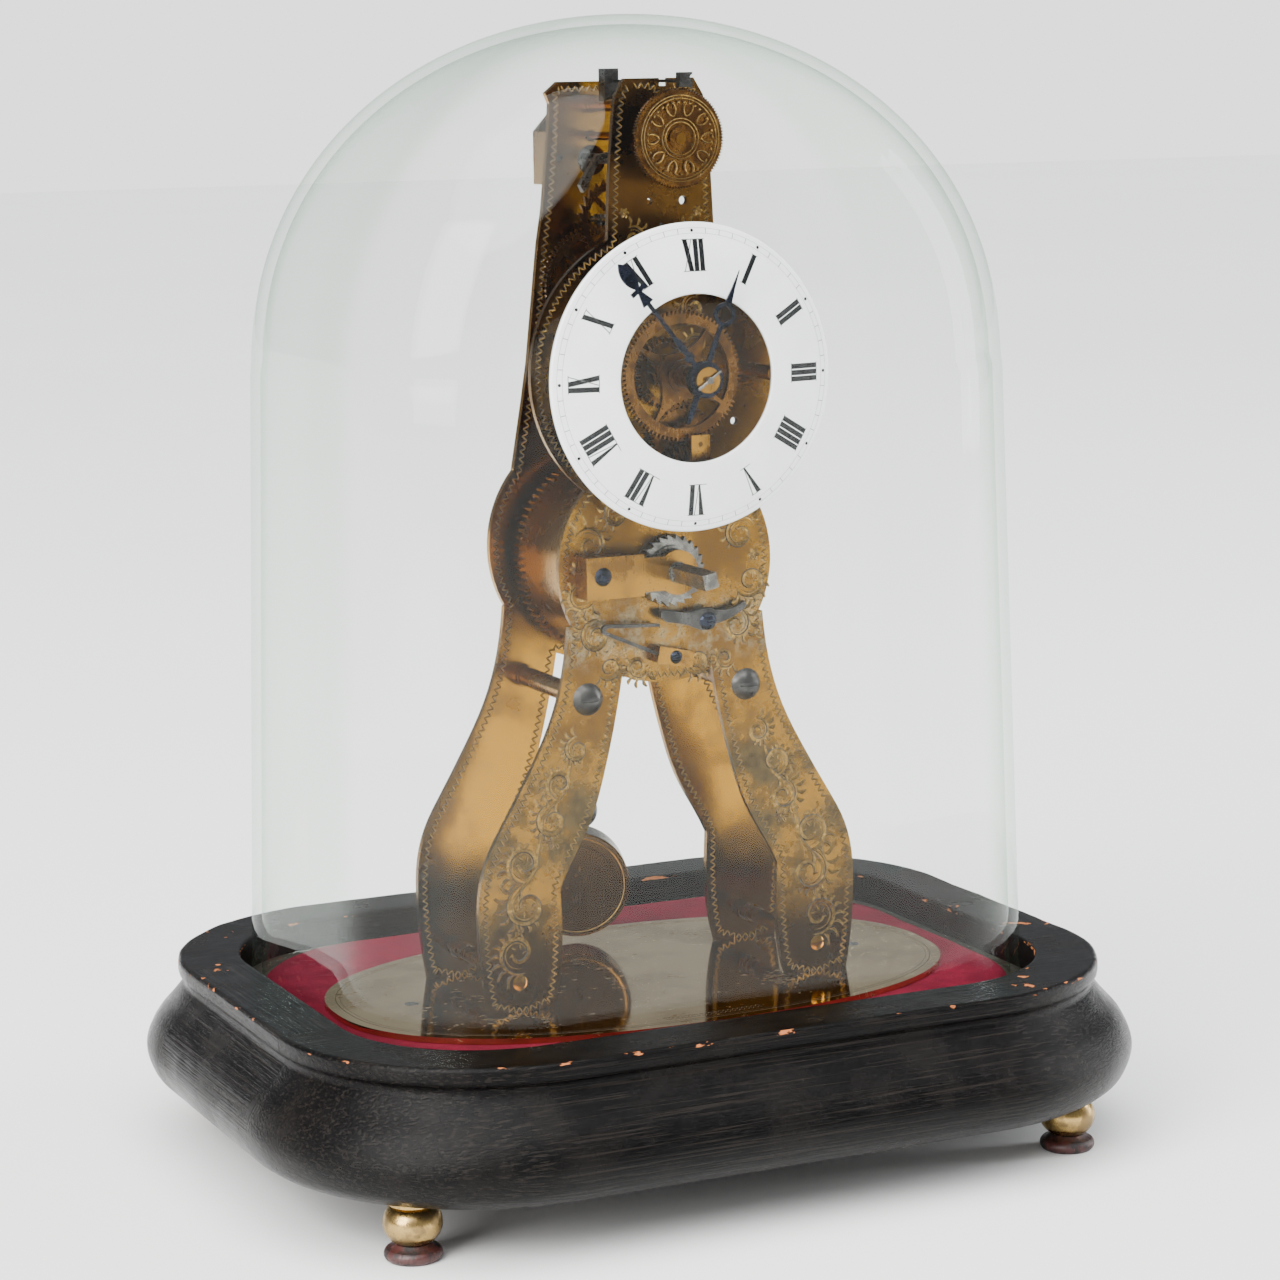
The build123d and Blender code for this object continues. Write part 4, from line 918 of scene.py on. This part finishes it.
def make_front_engraving():
    """The front plate's engraving: a wriggled border, and scrolls that climb the legs and fill the waist."""
    front = span("front_plate")[0][1]
    outline = flat_outline("front_plate", 1, front)
    work = Engraving(lambda u, v, lift: (u, front - lift, v))
    work.wriggle(inset_line(outline, 1.5), 1.5, 0.62, 0.5, 0.09)
    centre = middle("front_plate")[0]
    # (height, part of the half width to one side, radius, start angle, way round) up each leg
    climb = ((48.5, 0.10, 4.5, 250, 1), (58.0, -0.16, 4.9, 80, -1), (67.0, 0.12, 4.3, 260, 1),
             (75.2, -0.10, 3.8, 90, -1), (82.8, 0.08, 3.3, 265, 1), (89.6, -0.05, 2.8, 95, -1))
    # (distance from the middle, height, radius, start angle, way round) in the waist and up the neck
    fill = ((16.0, 112.6, 3.7, 100, -1), (19.3, 121.5, 3.5, 210, 1), (17.0, 131.5, 3.9, 30, 1),
            (11.0, 137.5, 3.1, 120, -1), (6.8, 105.6, 2.8, 200, 1), (13.2, 105.8, 2.5, 330, -1),
            (6.0, 193.0, 2.6, 60, 1), (6.6, 186.0, 2.9, 300, -1), (7.0, 178.6, 3.1, 60, 1),
            (7.6, 171.0, 3.2, 300, -1))
    for side in (-1, 1):
        stem = []
        for z, share, radius, start, turn in climb:
            x, half = leg_middle(outline, side, z)
            x += side * share * half
            begin = start if side > 0 else 180 - start
            work.scroll(x, z, radius, begin, turn * side, leaves=9, fat=1.15)
            stem.append((x - side * share * half * 2.4, z))
        smooth = []
        for k in range(len(stem) - 1):
            a, b = stem[k], stem[k + 1]
            for step in range(8):
                t = step / 8
                ease = t * t * (3 - 2 * t)
                smooth.append((a[0] + ease * (b[0] - a[0]), a[1] + t * (b[1] - a[1])))
        work.cut(smooth + [stem[-1]], 0.9, 0.13, taper=0.3)
        x, _ = leg_middle(outline, side, 71.0)
        work.flower(x - side * 3.6, 71.0, 1.7)
        for u, v, radius, start, turn in fill:
            begin = start if side > 0 else 180 - start
            work.scroll(centre + side * u, v, radius, begin, turn * side, leaves=7, fat=1.0)
        for u, v, radius in ((20.2, 127.0, 1.3), (8.2, 198.2, 1.0)):
            work.flower(centre + side * u, v, radius)
    # nicks along the arch between the legs, and a ring round the winding square
    for k in range(9):
        work.bow(centre - 8 + 2 * k, 104.4 + 0.035 * (k - 4) ** 2, 70, 1.1, 60, 0.3, 0.06, steps=5)
    work.ring(centre, middle("barrel_arbor")[2], 7.1, 0.35, 0.06)
    work.done("front_engraving", "frame")


def make_back_engraving():
    """The back plate's zigzag borders: one on the side that faces the front, one on the outer side."""
    faces = (("back_border", 0, -1), ("back_outer_border", 1, 1))
    for name, end, outward in faces:
        level = span("back_plate")[end][1]
        work = Engraving(lambda u, v, lift: (u, level + outward * lift, v))
        work.wriggle(inset_line(flat_outline("back_plate", 1, level), 1.5), 1.6, 0.62, 0.5, 0.09)
        work.done(name, "frame")


def make_base_plate_lines():
    """Two fine lines round the oval plate, with a short wriggled ornament at the middle of its front."""
    top = span("base_plate")[1][2]
    outline = flat_outline("base_plate", 2, top)
    work = Engraving(lambda u, v, lift: (u, v, top + lift))
    for inset, width in ((2.3, 0.30), (3.2, 0.16)):
        line = inset_line(outline, inset)
        work.cut(line + line[:1], width, 0.03, taper=0, dark_share=0.8)
    cx = middle("base_plate")[0]
    near = span("base_plate")[0][1]
    for row in range(2):
        line = [(cx + 1.0 * k, near + 4.6 + row * 1.2 + 0.0045 * k * k) for k in range(-11, 12)]
        work.wriggle(line, 1.1, 0.36, 0.26, 0.04)
    work.done("base_plate_lines", "frame")


def make_regulator_engraving():
    """Rings, dots and little leaves cut in the regulator wheel's face."""
    cx, _, cz = middle("regulator_wheel")
    face = span("regulator_wheel")[0][1]
    radius = half_size("regulator_wheel")[0]
    work = Engraving(lambda u, v, lift: (u, face - lift, v))
    for share in (0.86, 0.80, 0.40, 0.33):
        work.ring(cx, cz, share * radius, 0.2, 0.03)
    for k in range(36):
        work.bow(*around(cx, cz, 0.73 * radius, 10 * k), 10 * k + 100, 0.55, 30, 0.4, 0.05, steps=3)
    for k in range(10):
        a = 36 * k
        for turn in (-1, 1):
            root = around(cx, cz, 0.46 * radius, a)
            work.bow(*root, a + 60 * turn, 0.30 * radius, -90 * turn, 0.34, 0.07, steps=6)
    work.done("regulator_engraving", "regulator")


def make_bob_engraving():
    """A rosette and a ring cut in the bob's front, which is turned 20 degrees to the left."""
    radius = half_size("pendulum_bob")[2]
    centre = Vector(middle("pendulum_bob"))
    yaw = math.radians(20.0)
    normal = Vector((-math.sin(yaw), -math.cos(yaw), 0))
    side = Vector((math.cos(yaw), -math.sin(yaw), 0))
    depth = 5.0                  # from the bob's middle to the engraving

    def place(u, v, lift):
        p = centre + side * u + Vector((0, 0, v)) + normal * (depth + lift)
        return (p.x, p.y, p.z)

    work = Engraving(place)
    for k in range(8):
        a = 45 * k
        for turn in (-1, 1):
            root = around(0, 0, 0.16 * radius, a)
            work.bow(*root, a + 42 * turn, 0.34 * radius, -84 * turn, 0.45, 0.08, steps=7)
    work.ring(0, 0, 0.12 * radius, 0.35, 0.07)
    work.ring(0, 0, 0.90 * radius, 0.2, 0.04)
    work.done("bob_engraving", "pendulum")


# ---------------------------------------------------------------- stage
def make_floor():
    """A plain pale floor, far wider than the clock."""
    reach = 6.0
    corners = [(sx * reach, sy * reach, 0) for sx, sy in ((-1, -1), (1, -1), (1, 1), (-1, 1))]
    mesh = bpy.data.meshes.new("floor")
    mesh.from_pydata(corners, [], [(0, 1, 2, 3)])
    r = Recipe("floor_paint")
    cloud = r.noise(500.0, detail=3.0)
    r.set(Base_Color=r.blend(cloud, (0.93, 0.93, 0.92), (0.90, 0.90, 0.895)))
    r.set(Roughness=r.band(cloud, 0.3, 0.7, 0.6, 0.7))
    mesh.materials.append(r.material)
    floor = bpy.data.objects.new("floor", mesh)
    bpy.context.scene.collection.objects.link(floor)


def make_camera():
    """The camera at the photograph's place and angle: turned right, tipped down and rolled a little."""
    stand = Vector((-308.4, -661.7, 227.8))
    yaw, pitch, roll = math.radians(25.17), math.radians(9.3825), math.radians(-0.897)
    ahead = Vector((math.sin(yaw) * math.cos(pitch), math.cos(yaw) * math.cos(pitch), -math.sin(pitch)))
    level = Vector((math.cos(yaw), -math.sin(yaw), 0))
    upright = level.cross(ahead)
    right = math.cos(roll) * level + math.sin(roll) * upright
    up = -math.sin(roll) * level + math.cos(roll) * upright
    data = bpy.data.cameras.new("camera")
    data.sensor_width, data.lens = 36.0, 98.11
    data.clip_start, data.clip_end = 0.01, 50.0
    camera = bpy.data.objects.new("camera", data)
    bpy.context.scene.collection.objects.link(camera)
    turn = Matrix((right, up, -ahead)).transposed().to_4x4()
    camera.matrix_world = Matrix.Translation(stand * MM) @ turn
    bpy.context.scene.camera = camera


def area_light(name, place, target, width, height, power, colour):
    """A soft rectangular lamp aimed at a point, all in metres."""
    data = bpy.data.lights.new(name, "AREA")
    data.shape = "RECTANGLE"
    data.size, data.size_y, data.energy, data.color = width, height, power, colour
    lamp = bpy.data.objects.new(name, data)
    bpy.context.scene.collection.objects.link(lamp)
    aim = (Vector(target) - Vector(place)).to_track_quat("-Z", "Y")
    lamp.matrix_world = Matrix.Translation(place) @ aim.to_matrix().to_4x4()


def make_lights():
    """Soft studio light: a box at the left, a strip at the right, a wide soft sun, and a pale room.

    Only the camera sees the brighter backdrop, so the backdrop matches the floor and the metal stays rich.
    """
    aim = (0, 0, 0.12)
    area_light("left_box", (-1.5, -0.75, 0.9), aim, 1.1, 1.3, 70, (1.0, 0.99, 0.97))
    area_light("right_strip", (1.5, -0.35, 0.6), aim, 0.35, 1.2, 20, (0.97, 0.985, 1.0))
    data = bpy.data.lights.new("soft_sun", "SUN")
    data.energy, data.angle = 6.5, math.radians(70)
    sun = bpy.data.objects.new("soft_sun", data)
    bpy.context.scene.collection.objects.link(sun)
    sun.rotation_euler = Vector((0.3, 0.45, -1.2)).to_track_quat("-Z", "Y").to_euler()
    world = bpy.data.worlds.new("studio")
    bpy.context.scene.world = world
    world.use_nodes = True
    tree = world.node_tree
    light = tree.nodes["Background"]
    light.inputs["Color"].default_value = (0.86, 0.90, 0.95, 1.0)
    light.inputs["Strength"].default_value = 0.42
    seen = tree.nodes.new("ShaderNodeBackground")
    seen.inputs["Color"].default_value = (0.98, 0.98, 0.98, 1.0)
    seen.inputs["Strength"].default_value = 2.1
    path = tree.nodes.new("ShaderNodeLightPath")
    mix = tree.nodes.new("ShaderNodeMixShader")
    tree.links.new(path.outputs["Is Camera Ray"], mix.inputs[0])
    tree.links.new(light.outputs[0], mix.inputs[1])
    tree.links.new(seen.outputs[0], mix.inputs[2])
    tree.links.new(mix.outputs[0], tree.nodes["World Output"].inputs["Surface"])


finish_nodes()
make_wood_base()
make_velvet()
make_dome()
make_enamel()
make_dial_print()
make_front_engraving()
make_back_engraving()
make_base_plate_lines()
make_regulator_engraving()
make_bob_engraving()
make_floor()
make_camera()
make_lights()
